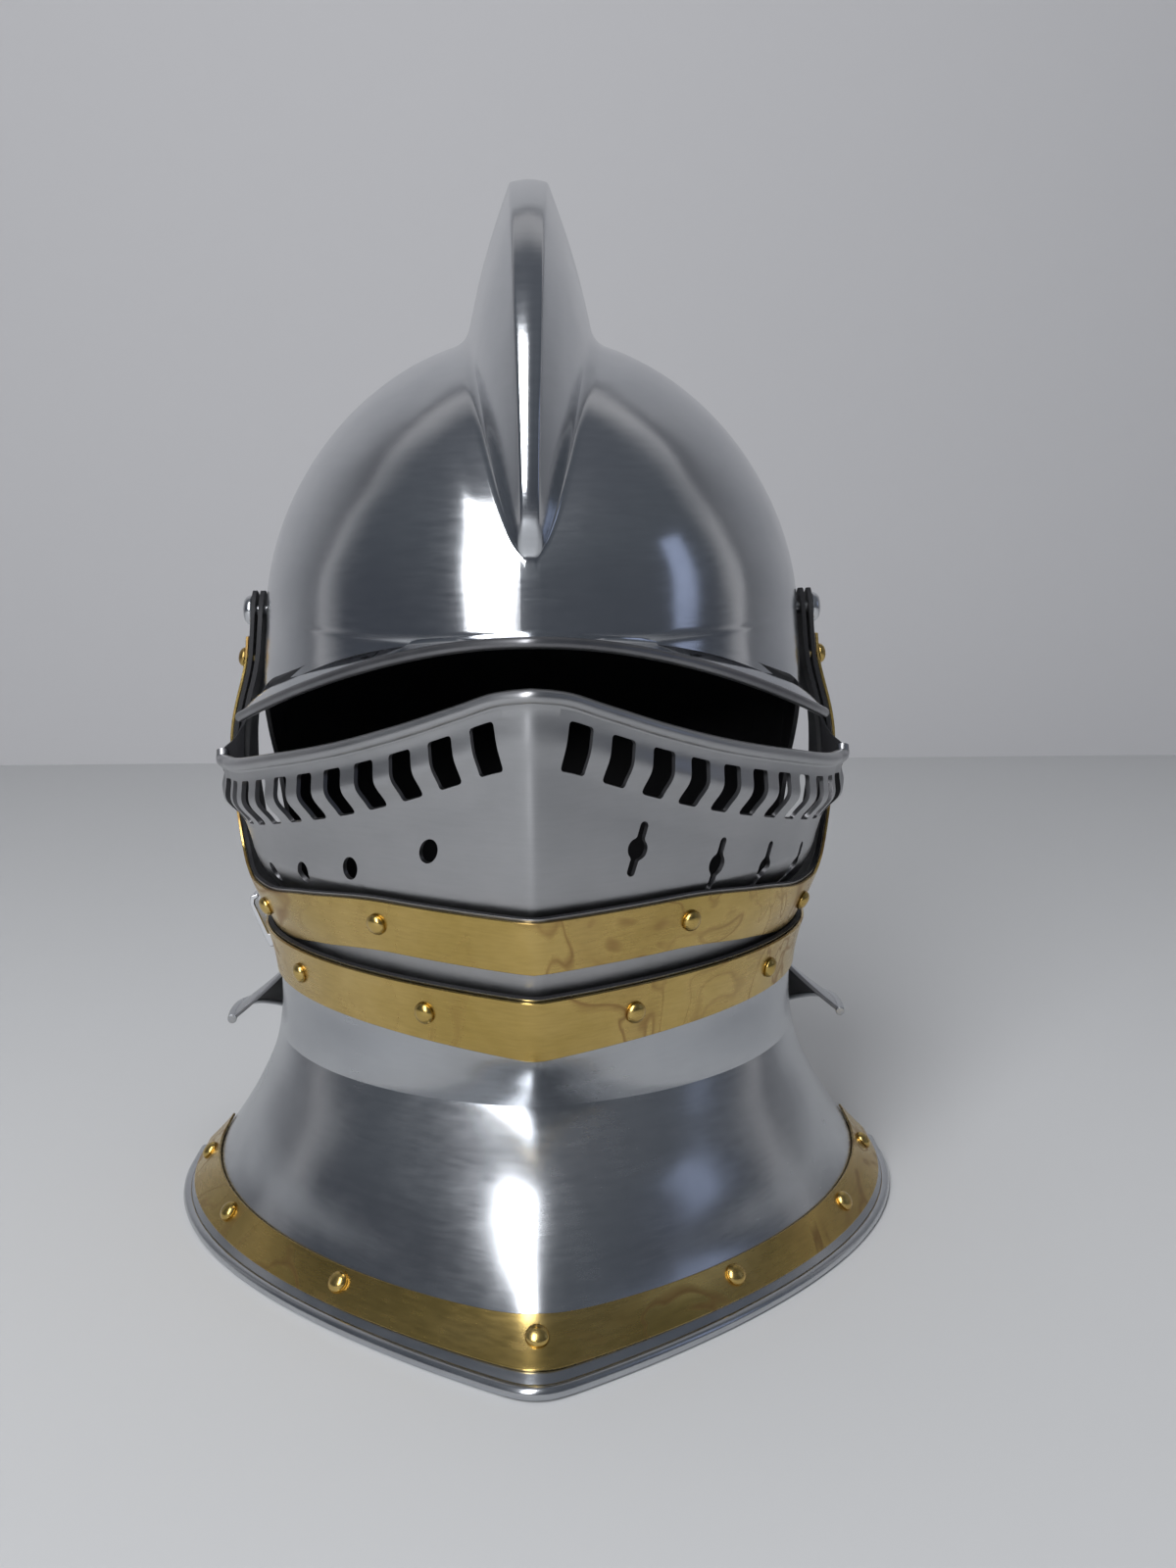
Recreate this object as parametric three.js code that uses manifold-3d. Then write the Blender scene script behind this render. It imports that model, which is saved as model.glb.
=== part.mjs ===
// Burgonet: a closed steel helmet with a tall comb, a brow peak, a slotted visor,
// overlapping lower plates with brass borders, a flared front collar and a rear neck guard.
// Millimetres, +Z up. The face looks along -Y and the wearer's right side is at -X.
// The origin is on the surface that the helmet stands on, below the middle of its box.

import * as THREE from 'three';
import { mergeVertices } from 'three/addons/utils/BufferGeometryUtils.js';
import Module from 'manifold-3d';

const wasm = await Module();
wasm.setup();

// Driving dimensions
const STEEL = 1.6;
const BRASS = 1.0;
const SLIDE_GAP = 1.45;
const COLLAR_GAP = 1.7;
const BRASS_GAP = 0.35;

const CENTRE_SHIFT = 5.48;
const PIVOT_Y = 10;
const PIVOT_Z = 224;
const PIVOT_HOLE = 3.2;
const PIVOT_SHANK = 2.6;

const SKULL_HALF_WIDTH = 101;
const SKULL_ROUNDNESS = 1.75;
const COMB_HEIGHT = 55;
const COMB_BASE = 24.5;
const COMB_SPINE = 7.2;
const COMB_TIP = 2.3;
const COMB_FRONT_ANGLE = 8;
const COMB_BACK_ANGLE = 192;
const BROW_ANGLE = -2.3;
const NAPE_ANGLE = 232;

const SLOT_COUNT = 11;
const SLOT_PITCH = 15;
const SLOT_WIDTH = 7.3;
const FIRST_SLOT = 16.6;
const SLOT_TOP = 6;
const SLOT_BEND = 14;
const SLOT_FOOT = 22;
const SLOT_LEAN = 4.6;
const BREATHS = [1.5, 4, 6, 8];
const BREATH_DEPTH = 40;
const BREATH_RADIUS = 3.6;
const BREATH_SLIT = 8.6;
const SLIT_LEAN = 2.8;

const UPPER_BAND_HEIGHT = 17;
const MIDDLE_BAND_TOP = 109.5;
const MIDDLE_BAND_FOOT = 89.8;
const HEM_BAND_TOP = 12.5;
const HEM_BAND_FOOT = 1.2;
const HEM_RADIUS = 2.3;
const HEM_PARAM = -2.1;
const BEAD_RADIUS = 2.5;
const PEAK_ROLL = 1.9;
const REAR_BEARING = 98;
const REAR_STEP = 2;

const RIVET_RADIUS = 3.7;
const RIVET_HEIGHT = 2.6;
const RIVET_SHANK = 1.3;
const RIVET_HOLE = 1.7;
const TOUCH_GAP = 0.3;

// Finishes
const steelFinish = new THREE.MeshStandardMaterial({ color: 0x9fa3a8, metalness: 1, roughness: 0.32 });
const brassFinish = new THREE.MeshStandardMaterial({ color: 0xb8923f, metalness: 1, roughness: 0.34 });
const boltFinish = new THREE.MeshStandardMaterial({ color: 0xb9bcc0, metalness: 1, roughness: 0.25 });

// A smooth curve through the pairs of a table, without overshoot between them.
function along(table, at) {
  const last = table.length - 1;
  if (at <= table[0][0]) return table[0][1];
  if (at >= table[last][0]) return table[last][1];
  let i = 0;
  while (at > table[i + 1][0]) i += 1;
  const slope = (k) => (table[k + 1][1] - table[k][1]) / (table[k + 1][0] - table[k][0]);
  const tangent = (k) => {
    if (k === 0) return slope(0);
    if (k === last) return slope(last - 1);
    const before = slope(k - 1);
    const after = slope(k);
    return before * after <= 0 ? 0 : (2 * before * after) / (before + after);
  };
  const span = table[i + 1][0] - table[i][0];
  const t = (at - table[i][0]) / span;
  const a = tangent(i) * span;
  const b = tangent(i + 1) * span;
  const rise = table[i + 1][1] - table[i][1];
  return table[i][1] + a * t + (3 * rise - 2 * a - b) * t * t + (a + b - 2 * rise) * t * t * t;
}

const mix = (a, b, t) => a + (b - a) * t;
const radians = (degrees) => (degrees * Math.PI) / 180;

// Plan of the face plates by height: the keel line, how far the sides stand out past the skull's
// half width, and how much of the plan is a straight-sided wedge instead of an oval.
const KEEL_LINE = [
  [-6, -174], [-2, -169], [12, -150], [40, -126], [55, -110.5], [65, -103], [78, -110.5], [90, -118.5],
  [110, -124.5], [120, -128], [135, -132], [160, -136.5], [185, -138.5], [203, -139], [240, -128],
];
const SIDE_STAND = [
  [-6, 36], [-2, 32.5], [12, 19], [40, 2], [55, -4.5], [64, -6.5], [78, -8], [90, -7.5],
  [110, -3], [120, 2.5], [130, 6.5], [146, 9.4], [166, 11.4], [186, 10.8], [206, 9.2],
  [224, 8], [240, 7.6],
];
const WEDGE = [
  [0, 0.74], [16, 0.64], [40, 0.34], [58, 0.12], [66, 0.1], [76, 0.3],
  [90, 0.62], [135, 0.66], [203, 0.68], [240, 0.6],
];

// A point of the face surface: bearing 0 is the keel, 90 is level with the pivots,
// and past 90 the side runs straight back.
function facePlan(bearing, z) {
  const turn = Math.abs(bearing);
  const side = Math.sign(bearing);
  const depth = PIVOT_Y - along(KEEL_LINE, z);
  const wedge = along(WEDGE, z);
  const forward = mix(Math.cos(radians(turn)), 1 - turn / 90, wedge);
  const y = turn > 90 ? PIVOT_Y + (turn - 90) * REAR_STEP : PIVOT_Y - depth * forward;
  const width = SKULL_HALF_WIDTH + along(SIDE_STAND, z);
  return new THREE.Vector3(side * width * Math.sin(radians(Math.min(turn, 90))), y, z);
}

// The outward direction of a surface at one place. On the keel the two sides meet in a mitre.
function outward(surface, u, v) {
  const onKeel = Math.abs(u) < 1e-6;
  const from = onKeel ? 0.02 : u;
  const across = surface(from + 0.01, v).sub(surface(from - 0.01, v));
  const up = surface(from, v + 0.05).sub(surface(from, v - 0.05));
  const normal = across.cross(up).normalize();
  if (!onKeel) return normal;
  const mitre = new THREE.Vector3(0, normal.y, normal.z);
  return mitre.divideScalar(mitre.lengthSq());
}

function facePoint(bearing, z, lift) {
  return facePlan(bearing, z).addScaledVector(outward(facePlan, bearing, z), lift);
}

// A thin plate: quads and triangles of its outer face, each corner with its inner partner.
class Plate {
  constructor() {
    this.outer = [];
    this.inner = [];
    this.found = new Map();
    this.faces = [];
  }

  corner(outer, inner) {
    const key = [outer.x, outer.y, outer.z].map((n) => Math.round(n * 1000)).join();
    if (this.found.has(key)) return this.found.get(key);
    this.outer.push(outer);
    this.inner.push(inner);
    this.found.set(key, this.outer.length - 1);
    return this.outer.length - 1;
  }

  triangle(a, b, c) {
    if (a !== b && b !== c && c !== a) this.faces.push([a, b, c]);
  }

  quad(a, b, c, d) {
    this.triangle(a, b, c);
    this.triangle(a, c, d);
  }

  // Adds a rectangle of corners. Blocks of cells listed in holes are left open round an outline.
  grid(columns, rows, cornerAt, flip, holes = []) {
    const put = (u, v) => this.corner(cornerAt(u, v, 'outer'), cornerAt(u, v, 'inner'));
    const quad = (a, b, c, d) => (flip ? this.quad(d, c, b, a) : this.quad(a, b, c, d));
    const mirrored = (a, b, c, d) => (flip ? this.quad(a, d, c, b) : this.quad(b, c, d, a));
    for (let i = 0; i + 1 < columns.length; i += 1) {
      for (let j = 0; j + 1 < rows.length; j += 1) {
        const inHole = holes.some((h) => i >= h.i0 && i < h.i1 && j >= h.j0 && j < h.j1);
        if (inHole) continue;
        const place = columns[i] < 0 ? mirrored : quad;
        place(
          put(columns[i], rows[j]),
          put(columns[i + 1], rows[j]),
          put(columns[i + 1], rows[j + 1]),
          put(columns[i], rows[j + 1]),
        );
      }
    }
    for (const h of holes) {
      const rim = [];
      for (let i = h.i0; i < h.i1; i += 1) rim.push([columns[i], rows[h.j0]]);
      for (let j = h.j0; j < h.j1; j += 1) rim.push([columns[h.i1], rows[j]]);
      for (let i = h.i1; i > h.i0; i -= 1) rim.push([columns[i], rows[h.j1]]);
      for (let j = h.j1; j > h.j0; j -= 1) rim.push([columns[h.i0], rows[j]]);
      for (let k = 0; k < rim.length; k += 1) {
        const next = (k + 1) % rim.length;
        const a = h.outline(k);
        const b = h.outline(next);
        quad(put(...rim[k]), put(...rim[next]), put(...b), put(...a));
      }
    }
  }

  // Closes the plate with its inner face and with a wall along every open edge.
  geometry() {
    const count = this.outer.length;
    const key = (a, b) => a * count + b;
    const edges = new Set();
    for (const [a, b, c] of this.faces) {
      edges.add(key(a, b)).add(key(b, c)).add(key(c, a));
    }
    const triangles = [];
    for (const [a, b, c] of this.faces) {
      triangles.push(a, b, c, a + count, c + count, b + count);
      for (const [p, q] of [[a, b], [b, c], [c, a]]) {
        if (!edges.has(key(q, p))) triangles.push(q, p, p + count, q, p + count, q + count);
      }
    }
    return closed([...this.outer, ...this.inner], triangles);
  }
}

// A closed surface with its faces turned outward.
function closed(points, triangles) {
  let volume = 0;
  for (let i = 0; i < triangles.length; i += 3) {
    const [a, b, c] = [0, 1, 2].map((k) => points[triangles[i + k]]);
    volume += a.dot(b.clone().cross(c));
  }
  const index = [...triangles];
  if (volume < 0) {
    for (let i = 0; i < index.length; i += 3) [index[i], index[i + 1]] = [index[i + 1], index[i]];
  }
  const geometry = new THREE.BufferGeometry();
  geometry.setAttribute('position', new THREE.Float32BufferAttribute(points.flatMap((p) => [p.x, p.y, p.z]), 3));
  geometry.setIndex(index);
  return geometry;
}

// Solids for joining and cutting
function solid(geometry) {
  const bare = geometry.clone();
  bare.deleteAttribute('normal');
  bare.deleteAttribute('uv');
  const merged = mergeVertices(bare, 1e-4);
  return new wasm.Manifold(new wasm.Mesh({
    numProp: 3,
    vertProperties: new Float32Array(merged.attributes.position.array),
    triVerts: new Uint32Array(merged.index.array),
  }));
}

function surfaceOf(body) {
  const mesh = body.getMesh();
  const geometry = new THREE.BufferGeometry();
  geometry.setAttribute('position', new THREE.Float32BufferAttribute(mesh.vertProperties, 3));
  geometry.setIndex(Array.from(mesh.triVerts));
  return geometry;
}

// A round wire along a list of points.
function wire(points, radius, sides, steps) {
  const section = new THREE.Shape();
  for (let k = 0; k < sides; k += 1) {
    const turn = (k / sides) * 2 * Math.PI + Math.PI / sides;
    const x = radius * Math.cos(turn);
    const y = radius * Math.sin(turn);
    if (k === 0) section.moveTo(x, y);
    else section.lineTo(x, y);
  }
  section.closePath();
  const path = new THREE.CatmullRomCurve3(points, false, 'centripetal');
  return new THREE.ExtrudeGeometry(section, { steps, bevelEnabled: false, extrudePath: path });
}

// A short round bar along any direction, for shank holes.
function bar(centre, direction, radius, length, sides) {
  const geometry = new THREE.CylinderGeometry(radius, radius, length, sides);
  const turn = new THREE.Quaternion().setFromUnitVectors(new THREE.Vector3(0, 1, 0), direction.clone().normalize());
  geometry.applyQuaternion(turn);
  geometry.translate(centre.x, centre.y, centre.z);
  return geometry;
}

const pivotPlace = new THREE.Vector3(0, PIVOT_Y, PIVOT_Z);
const pivotHoles = () => solid(bar(pivotPlace, new THREE.Vector3(1, 0, 0), PIVOT_HOLE, 300, 12));

// Everything below the resting surface, to give the hems a flat foot.
function belowFloor() {
  const block = new THREE.BoxGeometry(600, 600, 60);
  block.translate(0, 0, -30);
  return solid(block);
}

// Skull: sections fan out round the pivot axis. Fan angle 0 points to the face, 90 up
// and 180 to the back. Each section runs from the temple to the middle line or to the lower edge.
const SKULL_REACH = [
  [-90, 277], [-60, 270], [-42, 250], [-30, 196], [-18.7, 150], [-10, 132], [BROW_ANGLE, 127],
  [10, 124.5], [30, 115.5],
  [50, 107.5], [70, 103], [90, 101.5], [110, 102.5], [130, 106.5], [150, 112], [165, 116.5], [180, 119.5],
  [195, 122.5], [205, 126], [215, 131], [223, 137.5], [NAPE_ANGLE, 154], [245, 198], [257, 248], [270, 277],
];
const SKULL_EDGE = [
  [-90, 122], [-86, 118], [-82, 92], [-69, 58], [-42, 51], [-26, 60], [-18.7, 72], [-12, 86], [-7.6, 99],
  [-4.6, 112], [BROW_ANGLE, 127],
];
const SKULL_BACK_EDGE = [[NAPE_ANGLE, 154], [238, 144], [245, 136.5], [257, 126], [264, 123], [270, 122]];

function combShare(fan) {
  const t = (fan - COMB_FRONT_ANGLE) / (COMB_BACK_ANGLE - COMB_FRONT_ANGLE);
  if (t <= 0 || t >= 1) return 0;
  return Math.sin(Math.PI * t) ** 0.85;
}

function skullSection(fan, inset) {
  const width = SKULL_HALF_WIDTH - inset;
  const reach = along(SKULL_REACH, fan) - inset;
  const start = PIVOT_HOLE;
  const shellSteps = [0, 0.3, 0.56, 0.77, 0.91, 1];
  const shellAt = (radius) => width * Math.sqrt(Math.max(0, 1 - (radius / reach) ** SKULL_ROUNDNESS));
  const radiusAt = (x) => reach * (1 - (x / width) ** 2) ** (1 / SKULL_ROUNDNESS);
  const combSteps = [0.06, 0.35, 0.7, 1];
  const points = [];
  if (fan >= BROW_ANGLE && fan <= NAPE_ANGLE) {
    const share = combShare(fan);
    const rise = COMB_HEIGHT * share;
    const base = mix(7, COMB_BASE, share) - inset * 0.9;
    const spine = mix(COMB_TIP, COMB_SPINE, share ** 1.7) - inset * 0.8;
    const foot = base + 1 + 5 * share;
    const join = radiusAt(foot);
    shellSteps.forEach((s) => {
      const radius = mix(start, join, s);
      points.push([shellAt(radius), radius]);
    });
    combSteps.forEach((s) => {
      const x = mix(base, spine, s);
      points.push([x, mix(radiusAt(x), radiusAt(base) * (1 - s) + (reach + rise) * s, share > 0 ? 1 : 0)]);
    });
    points.push([0, reach + rise + 0.3]);
  } else {
    const edge = fan < 0 ? along(SKULL_EDGE, fan) : along(SKULL_BACK_EDGE, fan);
    const close = Math.min(0.94, 1 - 3 / edge);
    shellSteps.forEach((s) => {
      const radius = mix(start, edge * close, s);
      points.push([shellAt(radius), radius]);
    });
    [0.2, 0.4, 0.6, 0.8, 1].forEach((s) => {
      const radius = mix(edge * close, edge, s);
      points.push([shellAt(radius), radius]);
    });
  }
  return points.map(([x, r]) => new THREE.Vector3(
    x,
    PIVOT_Y - r * Math.cos(radians(fan)),
    PIVOT_Z + r * Math.sin(radians(fan)),
  ));
}

const SKULL_FANS = [
  -90, -85, -78, -68, -54, -40, -28, -18, -10, -5, BROW_ANGLE, 4, 11, 20, 32, 46, 60, 74, 88, 102,
  116, 132, 148, 164, 180, 195, 210, 222, NAPE_ANGLE, 239, 248, 259, 270,
];

function skullShell() {
  const plate = new Plate();
  for (const side of [1, -1]) {
    const corners = SKULL_FANS.map((fan) => {
      const outer = skullSection(fan, 0);
      const inner = skullSection(fan, STEEL);
      return outer.map((p, k) => [p, inner[k]].map((q) => new THREE.Vector3(side * q.x, q.y, q.z)));
    });
    for (let i = 0; i + 1 < corners.length; i += 1) {
      for (let j = 0; j + 1 < corners[i].length; j += 1) {
        const [a, b, c, d] = [corners[i][j], corners[i + 1][j], corners[i + 1][j + 1], corners[i][j + 1]]
          .map(([outer, inner]) => plate.corner(outer, inner));
        if (side > 0) plate.quad(a, b, c, d);
        else plate.quad(d, c, b, a);
      }
    }
  }
  return plate.geometry();
}

// Peak: it grows out of the brow edge and ends in a turned rim.
const PEAK_ROOT_ANGLE = -40;
const PEAK_END_BEARING = 73;
const PEAK_DEPTH = 142;
const PEAK_HALF_WIDTH = SKULL_HALF_WIDTH + 11.5;
const PEAK_WEDGE = 0.6;
const PEAK_Z = 216.5;
const PEAK_FALL = 33;

function peakRoot(t) {
  const fan = mix(BROW_ANGLE, PEAK_ROOT_ANGLE, Math.abs(t) ** 0.8);
  const width = SKULL_HALF_WIDTH - STEEL / 2;
  const reach = along(SKULL_REACH, fan) - STEEL / 2;
  const radius = Math.min(along(SKULL_EDGE, fan), reach) - 2.3;
  const x = width * Math.sqrt(Math.max(0, 1 - (radius / reach) ** SKULL_ROUNDNESS));
  return new THREE.Vector3(
    Math.sign(t) * x * Math.min(1, Math.abs(t) * 12),
    PIVOT_Y - radius * Math.cos(radians(fan)),
    PIVOT_Z + radius * Math.sin(radians(fan)),
  );
}

function peakRim(t) {
  const turn = Math.abs(t) * PEAK_END_BEARING;
  const forward = mix(Math.cos(radians(turn)), 1 - turn / 90, PEAK_WEDGE);
  const x = Math.sign(t) * PEAK_HALF_WIDTH * Math.sin(radians(turn));
  const z = PEAK_Z - PEAK_FALL * (Math.abs(x) / PEAK_HALF_WIDTH) ** 1.8;
  return new THREE.Vector3(x, PIVOT_Y - PEAK_DEPTH * forward, z);
}

function peakPoint(t, s, drop) {
  const root = peakRoot(t);
  const rim = peakRim(t);
  const point = root.lerp(rim, s);
  point.z += 2.2 * Math.sin(Math.PI * s) - drop;
  return point;
}

function peakSolid() {
  const plate = new Plate();
  const columns = [-1, -0.88, -0.72, -0.54, -0.36, -0.18, 0, 0.18, 0.36, 0.54, 0.72, 0.88, 1];
  plate.grid(columns, [0, 0.5, 1], (t, s, face) => peakPoint(t, s, face === 'outer' ? -STEEL / 2 : STEEL / 2), false);
  const rimPath = [];
  for (let k = -12; k <= 12; k += 1) rimPath.push(peakRim(k / 12));
  return solid(plate.geometry()).add(solid(wire(rimPath, PEAK_ROLL, 6, 24)));
}

// Bearings along the visor by arc length, measured at slot height.
const ARC_HEIGHT = 180;
const ARC_STEPS = 360;
const arcLengths = [0];
for (let k = 1; k <= ARC_STEPS; k += 1) {
  const step = facePlan((k / ARC_STEPS) * 90, ARC_HEIGHT).distanceTo(facePlan(((k - 1) / ARC_STEPS) * 90, ARC_HEIGHT));
  arcLengths.push(arcLengths[k - 1] + step);
}

function bearingAt(arc) {
  const length = Math.abs(arc);
  let k = 0;
  while (k < ARC_STEPS && arcLengths[k + 1] < length) k += 1;
  if (k >= ARC_STEPS) return Math.sign(arc) * (90 + (length - arcLengths[ARC_STEPS]) / REAR_STEP);
  const t = (length - arcLengths[k]) / (arcLengths[k + 1] - arcLengths[k]);
  return (Math.sign(arc) * 90 * (k + t)) / ARC_STEPS;
}

// Visor: its top edge by arc, then the arm by bearing.
const VISOR_EDGE = [
  [0, 203], [10, 201.8], [24, 197.4], [47, 190], [73, 183.2], [105, 177], [150, 170.2], [175, 168.5],
];
const ARM_EDGE = [
  [78, 168.5], [80, 169], [81.5, 175], [82.7, 194], [84, 213], [86, 225.5], [90, 231.5], [94, 228],
  [96.6, 219], [98, 211],
];
const VISOR_FOOT = 115.5;
const ARM_FOOT = [[78, VISOR_FOOT], [81, 121], [84, 138], [87, 158], [90, 174], [94, 188], [98, 196]];
const LAST_SLOT_EDGE = FIRST_SLOT + (SLOT_COUNT - 0.5) * SLOT_PITCH;
const SIDE_HEIGHT = along(VISOR_EDGE, LAST_SLOT_EDGE) - VISOR_FOOT;

// How far the visor swells out below its edge: a bead flare, then the ridge that the slots cross.
const SWELL = [[0, 5.4], [6, 4.4], [13, 5.6], [22, 1], [30, 0]];

function visorHeight(arc, depth) {
  const length = Math.abs(arc);
  if (length <= LAST_SLOT_EDGE) {
    const top = along(VISOR_EDGE, length);
    if (depth <= 49) return top - depth;
    return mix(top - 49, VISOR_FOOT, (depth - 49) / (SIDE_HEIGHT - 49));
  }
  const bearing = Math.abs(bearingAt(arc));
  const top = along(ARM_EDGE, bearing);
  return top - (top - along(ARM_FOOT, bearing)) * (depth / SIDE_HEIGHT);
}

function visorSwell(arc, depth) {
  const spread = [[0, 0.15], [8, 0.35], [27, 1], [74, 1], [78, 1.3], [80.8, 1.4], [82, 0]];
  const toSide = along(spread, Math.abs(bearingAt(arc)));
  return along(SWELL, depth) * toSide;
}

// Behind the middle lame the visor tucks in, so that it slides out past the lame's edge.
const TUCK = [[VISOR_FOOT, 11], [124, 6.2], [131, 2], [136.5, 0]];
const TUCK_SHARE = [[0, 1], [30, 1], [50, 0.85], [65, 0.6], [78, 0.4], [82, 0.2], [84, 0]];

function visorPoint(arc, depth, lift) {
  const z = visorHeight(arc, depth);
  const bearing = bearingAt(arc);
  const tuck = along(TUCK, z) * along(TUCK_SHARE, Math.abs(bearing));
  return facePoint(bearing, z, lift + visorSwell(arc, depth) - tuck);
}

const arcOfBearing = (bearing) => {
  if (bearing >= 90) return arcLengths[ARC_STEPS] + (bearing - 90) * REAR_STEP;
  return arcLengths[Math.round((bearing / 90) * ARC_STEPS)];
};

function slotOutline(centre, side) {
  const half = SLOT_WIDTH / 2;
  const places = [
    [-half, SLOT_TOP], [0, SLOT_TOP], [half, SLOT_TOP], [half, SLOT_BEND],
    [half, SLOT_FOOT], [0, SLOT_FOOT], [-half, SLOT_FOOT], [-half, SLOT_BEND],
  ];
  return (k) => {
    const [across, depth] = places[k];
    const lean = SLOT_LEAN * ((depth - SLOT_TOP) / (SLOT_FOOT - SLOT_TOP));
    return [centre + across - side * lean, depth];
  };
}

function roundOutline(centre) {
  return (k) => {
    const turn = radians(-135 + 45 * k);
    return [centre + BREATH_RADIUS * Math.cos(turn), BREATH_DEPTH + BREATH_RADIUS * Math.sin(turn)];
  };
}

function slitOutline(centre) {
  const places = [
    [-1.5, -BREATH_SLIT], [0, -BREATH_SLIT - 0.6], [1.5, -BREATH_SLIT], [BREATH_RADIUS, 0],
    [1.5, BREATH_SLIT], [0, BREATH_SLIT + 0.6], [-1.5, BREATH_SLIT], [-BREATH_RADIUS, 0],
  ];
  return (k) => [
    centre + places[k][0] - SLIT_LEAN * (places[k][1] / BREATH_SLIT),
    BREATH_DEPTH + places[k][1],
  ];
}

function visorGeometry() {
  const halfPitch = SLOT_PITCH / 2;
  const positive = [];
  for (let k = 0; k <= SLOT_COUNT * 2; k += 1) positive.push(FIRST_SLOT - halfPitch + k * halfPitch);
  for (const bearing of [80.8, 82, 83.2, 84.4, 86.6, 90, 94, REAR_BEARING]) {
    positive.push(arcOfBearing(bearing));
  }
  const columns = [...positive.map((a) => -a).reverse(), 0, ...positive];
  const zero = positive.length;
  const rows = [0, 3, SLOT_BEND, 26, 30, BREATH_DEPTH, 49.5, 51.5, SIDE_HEIGHT];
  const holes = [];
  for (let k = 0; k < SLOT_COUNT; k += 1) {
    const centre = FIRST_SLOT + k * SLOT_PITCH;
    const right = zero + 1 + 2 * k;
    const left = zero - 3 - 2 * k;
    holes.push({ i0: right, i1: right + 2, j0: 1, j1: 3, outline: slotOutline(centre, 1) });
    holes.push({ i0: left, i1: left + 2, j0: 1, j1: 3, outline: slotOutline(-centre, -1) });
  }
  for (const place of BREATHS) {
    const centre = FIRST_SLOT + place * SLOT_PITCH;
    const right = zero + 1 + 2 * place;
    const left = zero - 3 - 2 * place;
    holes.push({ i0: right, i1: right + 2, j0: 4, j1: 6, outline: slitOutline(centre) });
    holes.push({ i0: left, i1: left + 2, j0: 4, j1: 6, outline: roundOutline(-centre) });
  }
  const plate = new Plate();
  plate.grid(columns, rows, (arc, depth, face) => visorPoint(arc, depth, face === 'outer' ? 0 : -STEEL), false, holes);
  const beadPath = [];
  for (let k = -24; k <= 24; k += 1) {
    beadPath.push(visorPoint((k / 24) * (LAST_SLOT_EDGE + 3), 0, -STEEL / 2));
  }
  const bead = solid(wire(beadPath, BEAD_RADIUS, 6, 40));
  return surfaceOf(solid(plate.geometry()).add(bead).subtract(pivotHoles()));
}

// Middle lame: outside the visor's foot, with arms to the pivots.
const LAME_LIFT = SLIDE_GAP + STEEL;
const UPPER_BAND_EDGE = [[0, 135.3], [25, 135.6], [45, 132], [62, 128.3], [72, 128.3], [78, 131]];
const LAME_ARM_EDGE = [
  [78, 131], [81, 134], [83.4, 146], [84.4, 176], [85.4, 206], [86.6, 223.5], [90, 231.5], [94, 228],
  [96.6, 219], [98, 211],
];
const LAME_FOOT = 98;
const LAME_ROWS = [0, 0.2, 0.42, 0.64, 0.78, 1];
const FACE_BEARINGS = [0, 7, 14, 21, 28, 35, 42, 49, 56, 63, 69, 74, 78];
const ARM_BEARINGS = [81, 83.2, 84.4, 86.6, 90, 94, REAR_BEARING];

const lameEdge = (bearing) => (bearing <= 78 ? along(UPPER_BAND_EDGE, bearing) : along(LAME_ARM_EDGE, bearing));

function bothSides(bearings) {
  return [...bearings.filter((b) => b > 0).map((b) => -b).reverse(), ...bearings];
}

// A plate on the face surface between two edges given by bearing.
function facePlate(bearings, rows, topAt, footAt, liftOut, liftIn) {
  const plate = new Plate();
  plate.grid(bothSides(bearings), rows, (bearing, share, face) => {
    const turn = Math.abs(bearing);
    const z = mix(topAt(turn), footAt(turn), share);
    return facePoint(bearing, z, face === 'outer' ? liftOut : liftIn);
  }, false);
  return plate.geometry();
}

// Upper brass band: it follows the lame's edge and then climbs the front of each arm.
// It has the facets of the lame below it, cut to the band's outline in the side view.
const BAND_LIFT_IN = LAME_LIFT + BRASS_GAP;
const BAND_LIFT_OUT = BAND_LIFT_IN + BRASS;
const ARM_STRIP_BACK = 8.5;
const ARM_STRIP_TOP = 214;

function upperBandOutline() {
  const outline = new THREE.Shape();
  const top = [];
  const foot = [];
  for (let bearing = 0; bearing <= 74; bearing += 2) {
    const z = lameEdge(bearing) - 0.8;
    const upper = facePoint(bearing, z, BAND_LIFT_OUT);
    const lower = facePoint(bearing, z - UPPER_BAND_HEIGHT, BAND_LIFT_OUT);
    top.push([upper.y, upper.z]);
    foot.push([lower.y, lower.z]);
  }
  top[0][0] -= 6;
  foot[0][0] -= 6;
  const climb = [[-15, 131.5], [-8, 135.5], [-3.4, 145], [-1.6, 160], [-0.6, 176], [0.4, 196], [2, ARM_STRIP_TOP]];
  const back = [
    [ARM_STRIP_BACK, ARM_STRIP_TOP], [ARM_STRIP_BACK + 1.5, 190], [ARM_STRIP_BACK + 1.6, 165],
    [ARM_STRIP_BACK - 0.6, 140], [4, 126], [-4, 117], [-14, 112.5],
  ];
  [...top, ...climb, ...back, ...foot.reverse()].forEach(([y, z], k) => {
    if (k === 0) outline.moveTo(y, z);
    else outline.lineTo(y, z);
  });
  outline.closePath();
  const block = new THREE.ExtrudeGeometry(outline, { depth: 400, bevelEnabled: false });
  block.rotateX(Math.PI / 2);
  block.rotateZ(Math.PI / 2);
  block.translate(-200, 0, 0);
  return solid(block);
}

// Front collar: outside the middle lame, in at the neck crease and out to the hem.
const COLLAR_LIFT = LAME_LIFT + COLLAR_GAP + STEEL;
const COLLAR_BEARINGS = [...FACE_BEARINGS, 84.4, 90, REAR_BEARING];

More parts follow.
